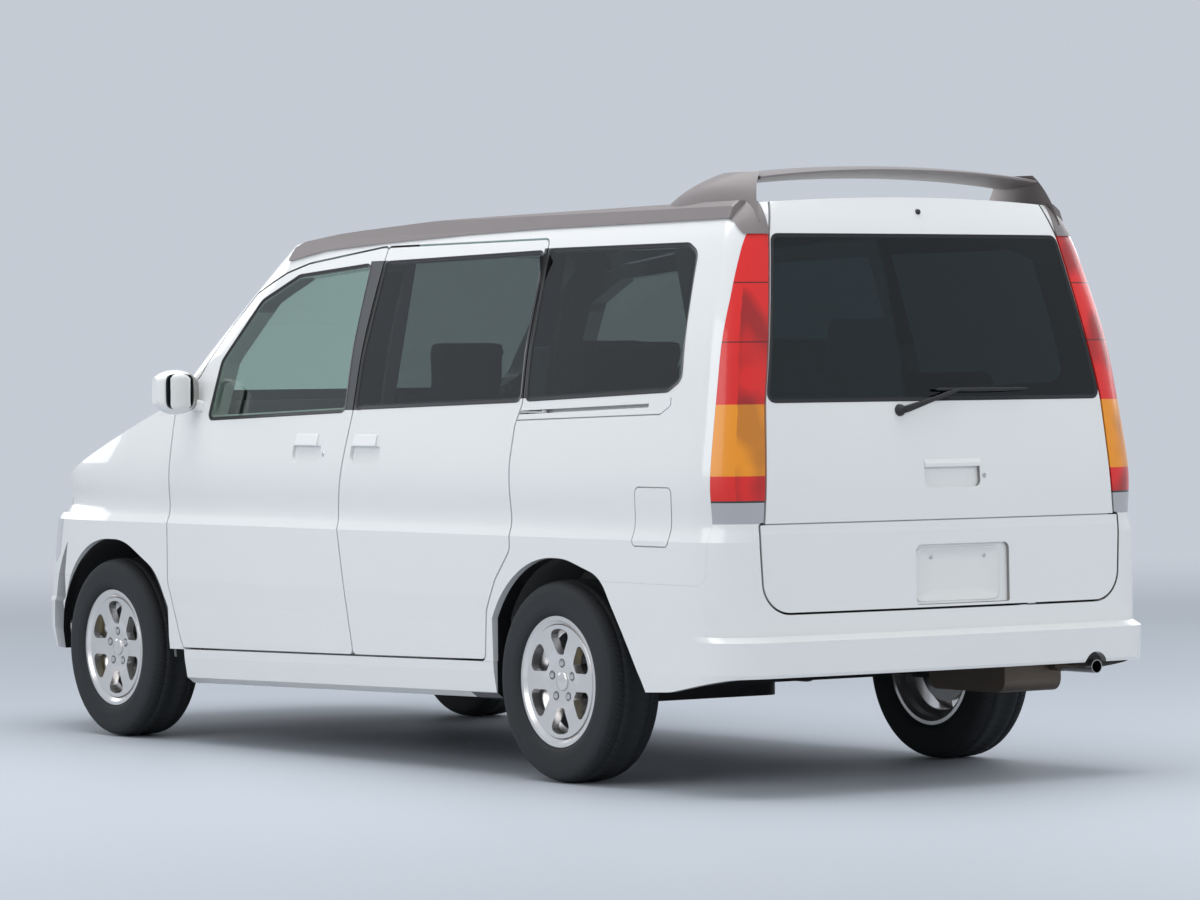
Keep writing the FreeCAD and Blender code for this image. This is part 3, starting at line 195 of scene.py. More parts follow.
def dress(material, *names):
    """Gives CAD nodes a material."""
    for name in names:
        mesh = nodes[name].data
        mesh.materials.clear()
        mesh.materials.append(material)


def split(tree, vector):
    """The X, Y and Z outputs of a vector."""
    return put(tree, "ShaderNodeSeparateXYZ", {0: vector}).outputs


def shaded_place(tree):
    """The X, Y and Z outputs of the place that is shaded, in the shared frame."""
    return split(tree, put(tree, "ShaderNodeTexCoord").outputs["Object"])


def bumped(tree, shader, height, distance, strength):
    """Tilts a material's normal as a height over its surface would."""
    bump = put(tree, "ShaderNodeBump", {"Height": height, "Distance": distance, "Strength": strength})
    tree.links.new(bump.outputs[0], shader.inputs["Normal"])


# Grain: fine noise that lifts the surface and coarse noise that shifts its tone, for moulded plastic,
# rubber, metal and lacquer.
grain, grain_in, grain_out = new_group(
    "grain", [("Scale", "NodeSocketFloat", 400.0), ("Depth", "NodeSocketFloat", 0.1),
              ("Tone", "NodeSocketFloat", 0.1), ("Colour", "NodeSocketColor", (0.5, 0.5, 0.5, 1.0))],
    [("Colour", "NodeSocketColor"), ("Height", "NodeSocketFloat")])
place = put(grain, "ShaderNodeTexCoord").outputs["Object"]
fine = put(grain, "ShaderNodeTexNoise", {"Vector": place, "Scale": grain_in.outputs["Scale"], "Detail": 3.0})
coarse = put(grain, "ShaderNodeTexNoise", {"Vector": place, "Scale": 4.0, "Detail": 4.0})
tone = maths(grain, "MULTIPLY_ADD", maths(grain, "SUBTRACT", coarse.outputs["Fac"], 0.5),
             grain_in.outputs["Tone"], 1.0)
grain_scaled = put(grain, "ShaderNodeVectorMath", {0: grain_in.outputs["Colour"], "Scale": tone},
                   operation="SCALE")
grain.links.new(grain_scaled.outputs[0], grain_out.inputs["Colour"])
grain_height = maths(grain, "MULTIPLY", fine.outputs["Fac"], grain_in.outputs["Depth"])
grain.links.new(grain_height, grain_out.inputs["Height"])

# Cabin side: one where a face looks into the cabin. Its normal points back to the middle there, or down
# from the ceiling, or forward from the tail.
CEILING_Z, TAIL_FACE_X, SILL_Z = 1.5, -1.9, 0.33
cabin_side, _, cabin_out = new_group("cabin_side", [], [("Mask", "NodeSocketFloat")])
texture_place = put(cabin_side, "ShaderNodeTexCoord")
at = split(cabin_side, texture_place.outputs["Object"])
way = split(cabin_side, texture_place.outputs["Normal"])
sideways = maths(cabin_side, "MULTIPLY", maths(cabin_side, "SIGN", at["Y"]), way["Y"])
faces_in = maths(cabin_side, "LESS_THAN", sideways, -0.35)
faces_down = maths(cabin_side, "MULTIPLY", maths(cabin_side, "LESS_THAN", way["Z"], -0.5),
                   maths(cabin_side, "GREATER_THAN", at["Z"], CEILING_Z))
faces_front = maths(cabin_side, "MULTIPLY", maths(cabin_side, "GREATER_THAN", way["X"], 0.5),
                    maths(cabin_side, "LESS_THAN", at["X"], TAIL_FACE_X))
within = maths(cabin_side, "MAXIMUM", maths(cabin_side, "MAXIMUM", faces_in, faces_down), faces_front)
over_sill = maths(cabin_side, "GREATER_THAN", at["Z"], SILL_Z)
cabin_side.links.new(maths(cabin_side, "MULTIPLY", within, over_sill), cabin_out.inputs["Mask"])

# Between: one where a value lies between two limits.
between, between_in, between_out = new_group(
    "between", [("Value", "NodeSocketFloat", 0.0), ("Low", "NodeSocketFloat", 0.0),
                ("High", "NodeSocketFloat", 1.0)], [("Mask", "NodeSocketFloat")])
over_low = maths(between, "GREATER_THAN", between_in.outputs["Value"], between_in.outputs["Low"])
under_high = maths(between, "LESS_THAN", between_in.outputs["Value"], between_in.outputs["High"])
between.links.new(maths(between, "MULTIPLY", over_low, under_high), between_out.inputs["Mask"])


def inside(tree, value, low, high):
    """One where a value lies between two limits, and zero elsewhere."""
    return use_group(tree, between, Value=value, Low=low, High=high).outputs["Mask"]


WHITE = (0.80, 0.80, 0.79)
TRIM_GREY = (0.235, 0.225, 0.21)
BLACKOUT = (0.012, 0.012, 0.013)
PILLAR_BAND, PILLAR_LEVELS = (-0.172, -0.069), (1.166, 1.662)
REAR_BAND, REAR_LEVELS = (-1.141, -1.088), (1.204, 1.680)
FRONT_AXLE, REAR_AXLE, WHEEL_Z = 1.460, -1.340, 0.318
ARCH_LINING, LINING_Y = 0.50, 0.8225
white_paint, tree, shader = new_material("white_paint", Roughness=0.32, Coat_Weight=1.0, Coat_Roughness=0.03)
at = shaded_place(tree)
lacquer = use_group(tree, grain, Scale=90.0, Depth=0.02, Tone=0.02, Colour=(*WHITE, 1.0))
dark = 0.0
for band, levels in ((PILLAR_BAND, PILLAR_LEVELS), (REAR_BAND, REAR_LEVELS)):
    on_pillar = maths(tree, "MULTIPLY", inside(tree, at["X"], *band), inside(tree, at["Z"], *levels))
    dark = maths(tree, "MAXIMUM", dark, on_pillar)
side_view = put(tree, "ShaderNodeCombineXYZ", {"X": at["X"], "Z": at["Z"]}).outputs[0]
for axle_x in (FRONT_AXLE, REAR_AXLE):
    from_wheel = put(tree, "ShaderNodeVectorMath", {0: side_view, 1: (axle_x, 0.0, WHEEL_Z)},
                     operation="DISTANCE")
    lining = maths(tree, "MULTIPLY", maths(tree, "LESS_THAN", from_wheel.outputs["Value"], ARCH_LINING),
                   maths(tree, "LESS_THAN", maths(tree, "ABSOLUTE", at["Y"]), LINING_Y))
    dark = maths(tree, "MAXIMUM", dark, lining)
outside_colour = blended(tree, dark, lacquer.outputs["Colour"], BLACKOUT)
tree.links.new(blended(tree, use_group(tree, cabin_side).outputs["Mask"], outside_colour, TRIM_GREY),
               shader.inputs["Base Color"])
bumped(tree, shader, lacquer.outputs["Height"], 0.002, 0.12)
dress(white_paint, "body_side_left", "body_side_right", "roof_panel", "front_door_left", "front_door_right",
      "sliding_door", "tailgate", "bonnet", "front_wing_left", "front_wing_right", "front_bumper",
      "rear_bumper", "side_sills")


# The roof rails, their fins and the blade of the roof wing are moulded in a warm grey-brown satin, with
# a fine grain that shows from close by.
def grained(name, colour, scale, depth, tone, bump=None, **inputs):
    """A material whose colour the grain shifts. A bump, as (distance, strength), lets it lift the surface."""
    material, tree, shader = new_material(name, **inputs)
    look = use_group(tree, grain, Scale=scale, Depth=depth, Tone=tone, Colour=(*colour, 1.0))
    tree.links.new(look.outputs["Colour"], shader.inputs["Base Color"])
    if bump:
        bumped(tree, shader, look.outputs["Height"], *bump)
    return material


rail_brown = grained("rail_brown", (0.205, 0.18, 0.178), 700.0, 0.15, 0.08, (0.001, 0.25),
                     Roughness=0.42, Coat_Weight=0.25, Coat_Roughness=0.2)
dress(rail_brown, "roof_rails", "roof_wing")


# The windows are toughened glass bonded over a black edge: green-grey in the front doors and the
# windscreen, dark privacy glass behind, and a blue-green tint in the tailgate.
def glass(name, tint, *names):
    """Gives panes a clear glass with a tint."""
    material, _, _ = new_material(name, Base_Color=tint, Roughness=0.0, IOR=1.45, Transmission_Weight=1.0)
    dress(material, *names)


glass("glass_front", (0.60, 0.72, 0.66), "front_door_glass_left", "front_door_glass_right")
glass("glass_screen", (0.62, 0.76, 0.70), "windscreen")
glass("glass_privacy", (0.17, 0.19, 0.19), "sliding_door_glass", "fixed_side_glass")
glass("glass_tail", (0.035, 0.075, 0.085), "tailgate_glass")


# The tail lamps fill the corners from the bumper to the roof: red above, an amber indicator, a red band
# and a clear reversing lamp at the foot, with thin joints between the cells.
def flutes(tree, scale):
    """The height of the upright flutes that are moulded in a lens, as a wave across the van."""
    place = put(tree, "ShaderNodeTexCoord").outputs["Object"]
    wave = put(tree, "ShaderNodeTexWave", {"Vector": place, "Scale": scale}, bands_direction="Y")
    return wave.outputs["Fac"]


LAMP_RED, LAMP_DEEP, JOINT_RED = (0.74, 0.010, 0.007), (0.36, 0.006, 0.006), (0.12, 0.004, 0.004)
LAMP_AMBER, AMBER_DEEP = (0.88, 0.30, 0.006), (0.52, 0.17, 0.01)
LAMP_CLEAR, JOINT_BLACK = (0.42, 0.42, 0.44), (0.03, 0.03, 0.03)
AMBER_LEVELS, CLEAR_TOP, CELL_JOINTS = (0.969, 1.184), 0.892, (1.552, 1.372)
CELL_JOINT_HALF, CLEAR_JOINT_HALF = 0.002, 0.003
lamp_lens, tree, shader = new_material("tail_lamp_lens", Roughness=0.35, Coat_Weight=0.45,
                                       Coat_Roughness=0.03)
texture_place = put(tree, "ShaderNodeTexCoord")
at = split(tree, texture_place.outputs["Object"])
way = split(tree, texture_place.outputs["Normal"])
rearward = maths(tree, "LESS_THAN", way["X"], -0.82)
stretched = put(tree, "ShaderNodeMapping",
                {"Vector": texture_place.outputs["Object"], "Scale": (2.0, 9.0, 6.0)})
cells = put(tree, "ShaderNodeTexNoise", {"Vector": stretched.outputs[0], "Scale": 1.0, "Detail": 1.0})
in_cell = put(tree, "ShaderNodeMapRange", {"Value": cells.outputs["Fac"], "From Min": 0.40, "From Max": 0.60})
deep = maths(tree, "MULTIPLY", rearward, in_cell.outputs[0])
red = blended(tree, deep, LAMP_RED, LAMP_DEEP)
for joint in CELL_JOINTS:
    on_joint = inside(tree, at["Z"], joint - CELL_JOINT_HALF, joint + CELL_JOINT_HALF)
    red = blended(tree, on_joint, red, JOINT_RED)
amber = blended(tree, maths(tree, "MULTIPLY", deep, 0.8), LAMP_AMBER, AMBER_DEEP)
colour = blended(tree, inside(tree, at["Z"], *AMBER_LEVELS), red, amber)
colour = blended(tree, maths(tree, "LESS_THAN", at["Z"], CLEAR_TOP), colour, LAMP_CLEAR)
on_joint = inside(tree, at["Z"], CLEAR_TOP - CLEAR_JOINT_HALF, CLEAR_TOP + CLEAR_JOINT_HALF)
tree.links.new(blended(tree, on_joint, colour, JOINT_BLACK), shader.inputs["Base Color"])
bumped(tree, shader, flutes(tree, 110.0), 0.001, 0.12)
dress(lamp_lens, "tail_lamps")

# The headlamps are clear lenses over a bright reflector. Wide flutes spread the light, and the soft upright
# bands that they show are painted light and shade in the lens colour, over a bump of the same flutes.
headlamp_lens, tree, shader = new_material("headlamp_lens", Roughness=0.08, Metallic=0.35, Coat_Weight=1.0,
                                           Coat_Roughness=0.01)
flute_wave_and_painted_light = flutes(tree, 60.0)
# Painted light and shade: the lens colour runs lighter and darker across each flute.
tree.links.new(blended(tree, flute_wave_and_painted_light, (0.62, 0.64, 0.66), (0.40, 0.42, 0.45)), shader.inputs["Base Color"])
bumped(tree, shader, flute_wave_and_painted_light, 0.001, 0.4)
dress(headlamp_lens, "headlamps")

# The grille and the cowl under the windscreen are black plastic, and what lies under the floor is dark
# coated metal. The brake calipers, the outermost part of the knuckles and of the axle, are yellow zinc.
black_plastic = grained("black_plastic", (0.022, 0.022, 0.023), 900.0, 0.4, 0.2, (0.001, 0.4), Roughness=0.55)
dress(black_plastic, "grille", "cowl")

CALIPER_Y, CALIPER_Z, ZINC = (0.7075, 0.775), (0.268, 0.368), (0.38, 0.31, 0.12)
dark_metal, tree, shader = new_material("dark_metal", Roughness=0.6, Metallic=0.5)
coated = use_group(tree, grain, Scale=160.0, Depth=0.5, Tone=0.5, Colour=(0.035, 0.035, 0.036, 1.0))
at = shaded_place(tree)
on_caliper = maths(tree, "MULTIPLY", inside(tree, maths(tree, "ABSOLUTE", at["Y"]), *CALIPER_Y),
                   inside(tree, at["Z"], *CALIPER_Z))
tree.links.new(blended(tree, on_caliper, coated.outputs["Colour"], ZINC), shader.inputs["Base Color"])
bumped(tree, shader, coated.outputs["Height"], 0.002, 0.4)
dress(dark_metal, "front_frame", "engine_block", "front_suspension", "knuckle_left", "knuckle_right",
      "rear_axle", "fuel_tank")

# The exhaust is stainless steel, browned by heat along its length and polished at its tip under the
# rear bumper.
TIP_X, TIP_STEEL = -2.12, (0.55, 0.54, 0.53)
exhaust_steel, tree, shader = new_material("exhaust_steel", Metallic=1.0)
stained = use_group(tree, grain, Scale=220.0, Depth=0.4, Tone=0.5, Colour=(0.16, 0.13, 0.105, 1.0))
tip = maths(tree, "LESS_THAN", shaded_place(tree)["X"], TIP_X)
tree.links.new(blended(tree, tip, stained.outputs["Colour"], TIP_STEEL), shader.inputs["Base Color"])
dullness = put(tree, "ShaderNodeMapRange", {"Value": tip, "To Min": 0.5, "To Max": 0.18})
tree.links.new(dullness.outputs[0], shader.inputs["Roughness"])
dress(exhaust_steel, "exhaust")

# The floor, bulkhead, dashboard and steering wheel are trimmed in grey, in a moulded plastic with the
# grain of leather.
grey_trim = grained("grey_trim", (0.12, 0.118, 0.115), 500.0, 0.5, 0.2, (0.001, 0.5), Roughness=0.75)
dress(grey_trim, "floor_pan", "bulkhead", "dashboard", "steering_wheel")

# The wheels are cast alloy with a bright silver lacquer. The brake discs inside are bare iron, with the
# rings that the pads leave on them.
AXLES_MIDDLE, HALF_WHEELBASE = 0.06, 1.4
DISC_Y, DISC_RADIUS = (0.715, 0.7805), 0.133
silver, tree, shader = new_material("silver_lacquer", Roughness=0.24, Metallic=0.85, Coat_Weight=0.6,
                                    Coat_Roughness=0.05)
cast = use_group(tree, grain, Scale=1500.0, Depth=0.3, Tone=0.06, Colour=(0.74, 0.72, 0.71, 1.0))
at = shaded_place(tree)
on_disc = inside(tree, maths(tree, "ABSOLUTE", at["Y"]), *DISC_Y)
from_middle = maths(tree, "ABSOLUTE", maths(tree, "SUBTRACT", at["X"], AXLES_MIDDLE))
along_hub = maths(tree, "POWER", maths(tree, "SUBTRACT", from_middle, HALF_WHEELBASE), 2.0)
over_hub = maths(tree, "POWER", maths(tree, "SUBTRACT", at["Z"], WHEEL_Z), 2.0)
hub_distance = maths(tree, "SQRT", maths(tree, "ADD", along_hub, over_hub))
iron = maths(tree, "MULTIPLY", on_disc, maths(tree, "LESS_THAN", hub_distance, DISC_RADIUS))
ring_place = put(tree, "ShaderNodeCombineXYZ", {"X": hub_distance}).outputs[0]
rings = put(tree, "ShaderNodeTexNoise", {"Vector": ring_place, "Scale": 900.0})
iron_colour = blended(tree, rings.outputs["Fac"], (0.10, 0.095, 0.09), (0.30, 0.29, 0.28))
tree.links.new(blended(tree, iron, cast.outputs["Colour"], iron_colour), shader.inputs["Base Color"])
WHEELS = ("front_left", "front_right", "rear_left", "rear_right")
dress(silver, *("wheel_" + corner for corner in WHEELS))


# The tyres are block-treaded road tyres. Each is a new mesh whose section is a rounded loop and
# whose tread has four grooves round it and slots across it.
def surface(name, points, wrap_rows=False, wrap_columns=False):
    """A mesh over a grid of points, rows by columns, joined end to end where it wraps."""
    rows, columns = points.shape[:2]
    row = np.arange(rows if wrap_rows else rows - 1)[:, None]
    column = np.arange(columns if wrap_columns else columns - 1)[None, :]
    next_row, next_column = (row + 1) % rows, (column + 1) % columns
    quads = np.stack([row * columns + column, next_row * columns + column,
                      next_row * columns + next_column, row * columns + next_column], axis=-1).reshape(-1, 4)
    mesh = bpy.data.meshes.new(name)
    mesh.vertices.add(rows * columns)
    mesh.vertices.foreach_set("co", points.reshape(-1).astype(np.float32))
    mesh.loops.add(quads.size)
    mesh.loops.foreach_set("vertex_index", quads.reshape(-1).astype(np.int32))
    mesh.polygons.add(len(quads))
    mesh.polygons.foreach_set("loop_start", np.arange(0, quads.size, 4, dtype=np.int32))
    mesh.polygons.foreach_set("use_smooth", np.ones(len(quads), dtype=bool))
    mesh.update(calc_edges=True)
    mesh.validate()
    return mesh


def piece(name, mesh, material, body):
    """Puts a mesh into the scene as a piece that rides on a body."""
    made = bpy.data.objects.new(name, mesh)
    bpy.context.scene.collection.objects.link(made)
    mesh.materials.append(material)
    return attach(made, body)


def squared(wave, power):
    """A sine or cosine with its size raised to a power, which squares the round that it draws."""
    return np.sign(wave) * np.abs(wave) ** power


TYRE_RADIUS, TYRE_HALF_WIDTH, BEAD_RADIUS = 0.3178, 0.0970, 0.1985
AROUND, ACROSS, PITCHES = 512, 76, 64
GROOVES, GROOVE_HALF_WIDTH, WALL_RINGS, RING_HALF_WIDTH = (0.018, 0.050), 0.0035, (0.290, 0.226), 0.0022
SHOULDER, MIDDLE_BLOCKS = 0.054, 0.045
GROOVE_DEPTH, SLOT_DEPTH, FINE_DEPTH, DEEPEST = 0.0075, 0.006, 0.004, 0.0078


def tyre_points(hub):
    """Section: y = w |cos t|^0.55, r = middle + half height |sin t|^0.42, t from bead to bead. Depth is
    taken off the radius in the grooves, at four widths, and in the slots, at 64 places round."""
    turn = np.linspace(math.radians(-62), math.radians(242), ACROSS)[None, :]
    angle = np.linspace(0, 2 * math.pi, AROUND, endpoint=False)[:, None]
    middle = (TYRE_RADIUS + BEAD_RADIUS) / 2
    rise = (TYRE_RADIUS - BEAD_RADIUS) / 2
    across = TYRE_HALF_WIDTH * squared(np.cos(turn), 0.55)
    radius = middle + rise * squared(np.sin(turn), 0.42)
    tread = np.clip((radius - TYRE_RADIUS + 0.016) / 0.010, 0, 1)
    grooves = sum(np.exp(-((np.abs(across) - place) / GROOVE_HALF_WIDTH) ** 4) for place in GROOVES)
    wave = np.sin(angle * PITCHES + 22 * np.abs(across) / TYRE_HALF_WIDTH)
    slots = np.clip((np.abs(wave) - 0.93) / 0.04, 0, 1) * (np.abs(across) > SHOULDER)
    fine_wave = np.sin(angle * PITCHES + 40 * across)
    fine_slots = np.clip((fine_wave - 0.95) / 0.04, 0, 1) * (np.abs(across) < MIDDLE_BLOCKS)
    cuts = GROOVE_DEPTH * grooves + SLOT_DEPTH * slots + FINE_DEPTH * fine_slots
    depth = tread * np.clip(cuts, 0, DEEPEST)
    rings = sum(np.exp(-((radius - ring) / RING_HALF_WIDTH) ** 2) for ring in WALL_RINGS)
    across = across * (1 - 0.012 * rings) + 0 * angle
    radius = radius - depth
    return np.stack([hub[0] + radius * np.cos(angle), hub[1] + across, hub[2] + radius * np.sin(angle)],
                    axis=-1)


rubber = grained("tyre_rubber", (0.016, 0.018, 0.020), 900.0, 0.4, 0.35, (0.001, 0.4), Roughness=0.78)
for corner in WHEELS:
    low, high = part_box("tyre_" + corner)
    hub = (low + high) / 2
    tyre = piece("tread_" + corner, surface("tread_" + corner, tyre_points(hub), True), rubber,
                 "wheel_" + corner)
    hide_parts("tyre_" + corner)


# Five chromed hexagon nuts hold each wheel on its hub. A plain domed cap in the wheel's own silver
# closes the bore between them.
def lathe(profile, centre, axis, around=48):
    """The profile, a list of (radius r, height h), turned about an axis, a unit vector a, through a centre
    c: c + r (u cos t + v sin t) + h a, where u and v are square to a and to each other."""
    angle = np.linspace(0, 2 * math.pi, around, endpoint=False)[:, None]
    axis = np.array(axis, dtype=float)
    first = np.cross(axis, (0.0, 0.0, 1.0) if abs(axis[2]) < 0.9 else (1.0, 0.0, 0.0))
    first = first / np.linalg.norm(first)
    second = np.cross(axis, first)
    radius, height = (np.array(column)[None, :, None] for column in zip(*profile))
    spread = np.cos(angle)[:, :, None] * first + np.sin(angle)[:, :, None] * second
    return np.array(centre) + radius * spread + height * axis


def joined(name, parts, smooth=True):
    """One mesh out of several grids of points, each joined end to end round its rows."""
    meshes = [surface(name, points, True) for points in parts]
    vertices, faces, start = [], [], 0
    for mesh in meshes:
        vertices += [tuple(v.co) for v in mesh.vertices]
        faces += [tuple(start + i for i in polygon.vertices) for polygon in mesh.polygons]
        start += len(mesh.vertices)
        bpy.data.meshes.remove(mesh)
    whole = bpy.data.meshes.new(name)
    whole.from_pydata(vertices, [], faces)
    whole.polygons.foreach_set("use_smooth", [smooth] * len(faces))
    whole.validate()
    return whole


def turned(name, profile, centre, axis, material, body, around=48):
    """A piece made by turning a profile about an axis."""
    piece(name, surface(name, lathe(profile, centre, axis, around), True), material, body)


HALF_TRACK, STUD_CIRCLE, STUDS = 0.742, 0.05715, 5
NUT_SEAT, NUT_SUNK, CAP_SEAT = HALF_TRACK + 0.0585, 0.0023, HALF_TRACK + 0.0663
chrome = grained("nut_chrome", (0.62, 0.62, 0.63), 2000.0, 0.1, 0.1, Roughness=0.16, Metallic=1.0)
NUT = [(0.0004, 0.0), (0.0112, 0.0), (0.0112, 0.0115), (0.0094, 0.0142), (0.0004, 0.0150)]
CAP = [(0.0300, 0.0), (0.0300, 0.0030), (0.0280, 0.0048), (0.0180, 0.0060), (0.0003, 0.0064)]
for corner in WHEELS:
    low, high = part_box("wheel_" + corner)
    hub = (np.array(low) + np.array(high)) / 2
    outward = 1.0 if hub[1] > 0 else -1.0
    nuts = []
    for k in range(STUDS):
        stud = math.radians(90 + 360 / STUDS * k)
        seat = (hub[0] + STUD_CIRCLE * math.cos(stud), outward * (NUT_SEAT - NUT_SUNK),
                hub[2] + STUD_CIRCLE * math.sin(stud))
        nuts.append(lathe(NUT, seat, (0, outward, 0), 6))
    piece("nuts_" + corner, joined("nuts_" + corner, nuts, False), chrome, "wheel_" + corner)
    turned("hub_cap_" + corner, CAP, (hub[0], outward * CAP_SEAT, hub[2]), (0, outward, 0), silver,
           "wheel_" + corner)


# A black ceramic edge and rubber lip run round every pane. The strip follows the pane's outline and
# lies on the glass inside it and on the body outside it.
def hull(points):
    """The convex outline of points in a plane, counter-clockwise."""
    points = sorted(set(map(tuple, np.round(points, 5))))
    chains = []
    for run in (points, points[::-1]):
        chain = []
        for p in run:
            while len(chain) > 1 and ((chain[-1][0] - chain[-2][0]) * (p[1] - chain[-2][1])
                                      <= (chain[-1][1] - chain[-2][1]) * (p[0] - chain[-2][0])):
                chain.pop()
            chain.append(p)
        chains += chain[:-1]
    return np.array(chains)


def evenly(outline, step):
    """Points along a closed outline, about step apart, with their unit normals that point inwards."""
    closed = np.vstack([outline, outline[:1]])
    lengths = np.concatenate([[0], np.cumsum(np.linalg.norm(np.diff(closed, axis=0), axis=1))])
    places = np.linspace(0, lengths[-1], int(lengths[-1] / step), endpoint=False)
    points = np.stack([np.interp(places, lengths, closed[:, k]) for k in (0, 1)], axis=-1)
    along = np.roll(points, -2, axis=0) - np.roll(points, 2, axis=0)
    along /= np.linalg.norm(along, axis=1)[:, None]
    return points, np.stack([-along[:, 1], along[:, 0]], axis=-1)


def coordinates(mesh):
    """The places of a mesh's vertices, in rows."""
    flat = np.empty(len(mesh.vertices) * 3)
    mesh.vertices.foreach_get("co", flat)
    return flat.reshape(-1, 3)


def pane(name):
    """The places of the vertices of a node of glass."""
    return coordinates(nodes[name].data)


def outside_of(names, start, way):
    """Where a ray from start first meets one of the nodes."""
    best = None
    for name in names:
        hit, place, _, _ = nodes[name].ray_cast(Vector(start), Vector(way))
        if hit and (best is None or (place - Vector(start)).length < (best - Vector(start)).length):
            best = place
    return best


LIP = [(-0.0032, 0.0004), (-0.0024, 0.0013), (0.0014, 0.0019), (0.0030, 0.0009), (0.0090, 0.0004)]
SEAL_STEP, RAY_START = 0.012, 3.0


def seal_points(vertices, flat, way, names, slant=0.16):
    """Rings round the pane: each LIP entry is a distance inside its outline and a height over the surface.
    A place further than slant from the pane's middle, seen along the ray, is no part of its surround."""
    points, inward = evenly(hull(vertices[:, flat]), SEAL_STEP)
    depth = 3 - flat[0] - flat[1]
    middle = vertices[:, depth].mean()
    rings = []
    for distance, height in LIP:
        ring = np.zeros((len(points), 3))
        ring[:, flat] = points + inward * distance
        last = middle
        for row in ring:
            start = row.copy()
            start[depth] = -RAY_START * way[depth]
            found = outside_of(names, start, way)
            if found is not None and abs(found[depth] - middle) < slant:
                last = found[depth]
            row[depth] = last - way[depth] * height
        rings.append(ring)
    return np.stack(rings, axis=1)


rubber_lip = grained("window_rubber", (0.014, 0.014, 0.015), 800.0, 0.2, 0.1, Roughness=0.35)
SIDE_NODES = {1: ("body_side_left", "front_door_left", "sliding_door", "front_door_glass_left",
                  "sliding_door_glass", "fixed_side_glass"),
              -1: ("body_side_right", "front_door_right", "front_door_glass_right", "fixed_side_glass")}
QUARTER_X, BELT_Z, QUARTER_LEAN = -1.1235, 1.2, 0.048
fixed = pane("fixed_side_glass")
in_quarter = fixed[:, 0] < QUARTER_X + (fixed[:, 2] - BELT_Z) * QUARTER_LEAN
for name, vertices, side, body in (
        ("seal_front_left", pane("front_door_glass_left"), 1, "door_left"),
        ("seal_front_right", pane("front_door_glass_right"), -1, "door_right"),
        ("seal_sliding", pane("sliding_door_glass"), 1, "root"),
        ("seal_quarter_left", fixed[(fixed[:, 1] > 0) & in_quarter], 1, "root"),
        ("seal_quarter_right", fixed[(fixed[:, 1] < 0) & in_quarter], -1, "root"),
        ("seal_fixed_right", fixed[(fixed[:, 1] < 0) & ~in_quarter], -1, "root")):
    points = seal_points(vertices, [0, 2], (0.0, -float(side), 0.0), SIDE_NODES[side])
    piece(name, surface(name, points if side < 0 else points[:, ::-1], True), rubber_lip, body)
tail_seal = seal_points(pane("tailgate_glass"), [1, 2], (1.0, 0.0, 0.0), ("tailgate", "tailgate_glass"))
piece("seal_tailgate", surface("seal_tailgate", tail_seal, True), rubber_lip, "tailgate")
screen_seal = seal_points(pane("windscreen"), [1, 2], (-1.0, 0.0, 0.0),
                          ("windscreen", "roof_panel", "cowl", "body_side_left", "body_side_right"), 0.5)
piece("seal_screen", surface("seal_screen", screen_seal[:, ::-1], True), rubber_lip, "root")


# The door mirrors have slightly domed dark glass, each in a thin black frame that closes the white shell
# behind it.
def pad(centre, right, up, half, power, bulge, rings=10, around=64):
    """A rounded rectangle, as a superellipse that swells in its middle: s times half the width along
    |cos t|^(2/power), s times half the height along |sin t|^(2/power), and bulge (1 - s^2) out."""
    angle = np.linspace(0, 2 * math.pi, around, endpoint=False)[:, None, None]
    share = np.linspace(1, 0.002, rings)[None, :, None]
    across = half[0] * share * squared(np.cos(angle), 2 / power)
    rise = half[1] * share * squared(np.sin(angle), 2 / power)
    right, up = np.array(right, dtype=float), np.array(up, dtype=float)
    out = np.cross(right, up)
    return np.array(centre) + across * right + rise * up + bulge * (1 - share ** 2) * out


mirror_silver = grained("mirror_silver", (0.07, 0.085, 0.09), 300.0, 0.0, 0.05, Roughness=0.02, Metallic=1.0)
MIRROR_Y, MIRROR_Z, MIRROR_POWER = 0.899, 1.231, 5.0
for hand, side in (("left", 1.0), ("right", -1.0)):
    for part, x, half, bulge, material in (("frame", 0.8494, (0.056, 0.060), 0.0012, black_plastic),
                                           ("glass", 0.8484, (0.051, 0.055), 0.0010, mirror_silver)):
        name = "mirror_" + part + "_" + hand
        points = pad((x, side * MIRROR_Y, MIRROR_Z), (0, -1, 0), (0, 0, 1), half, MIRROR_POWER, bulge)
        piece(name, surface(name, points, True), material, "door_" + hand)


# The rear wiper stands on a boot below the glass. Its arm bends to the blade, whose rubber lies on the
# glass. A washer nozzle sits above the glass.
def sweep(name, path, sizes, power=3.0, around=16):
    """A rounded bar along a path p, each place with a width w and a height h: p + s w/2 |cos t|^(2/power)
    + l h/2 |sin t|^(2/power), where s and l are square to the path and l leans to X. The ends are closed."""
    path = np.array(path, dtype=float)
    along = np.gradient(path, axis=0)
    along /= np.linalg.norm(along, axis=1)[:, None]
    side = np.cross(along, np.array((1.0, 0.0, 0.0)))
    side /= np.linalg.norm(side, axis=1)[:, None]
    lift = np.cross(side, along)
    angle = np.linspace(0, 2 * math.pi, around, endpoint=False)[None, :, None]
    sizes = np.array(sizes, dtype=float)[:, None, :] / 2
    ring = (path[:, None] + sizes[..., :1] * squared(np.cos(angle), 2 / power) * side[:, None]
            + sizes[..., 1:] * squared(np.sin(angle), 2 / power) * lift[:, None])
    ends = [np.repeat(path[k][None, None], around, axis=1) + (ring[k] - path[k]) * 0.02 for k in (0, -1)]
    return surface(name, np.concatenate([ends[0], ring, ends[1]]), False, True)


def on_tail(y, z, out):
    """A place out from the tailgate's outer surface."""
    found = outside_of(("tailgate", "tailgate_glass"), (-RAY_START, y, z), (1.0, 0.0, 0.0))
    return (found[0] - out, y, z)


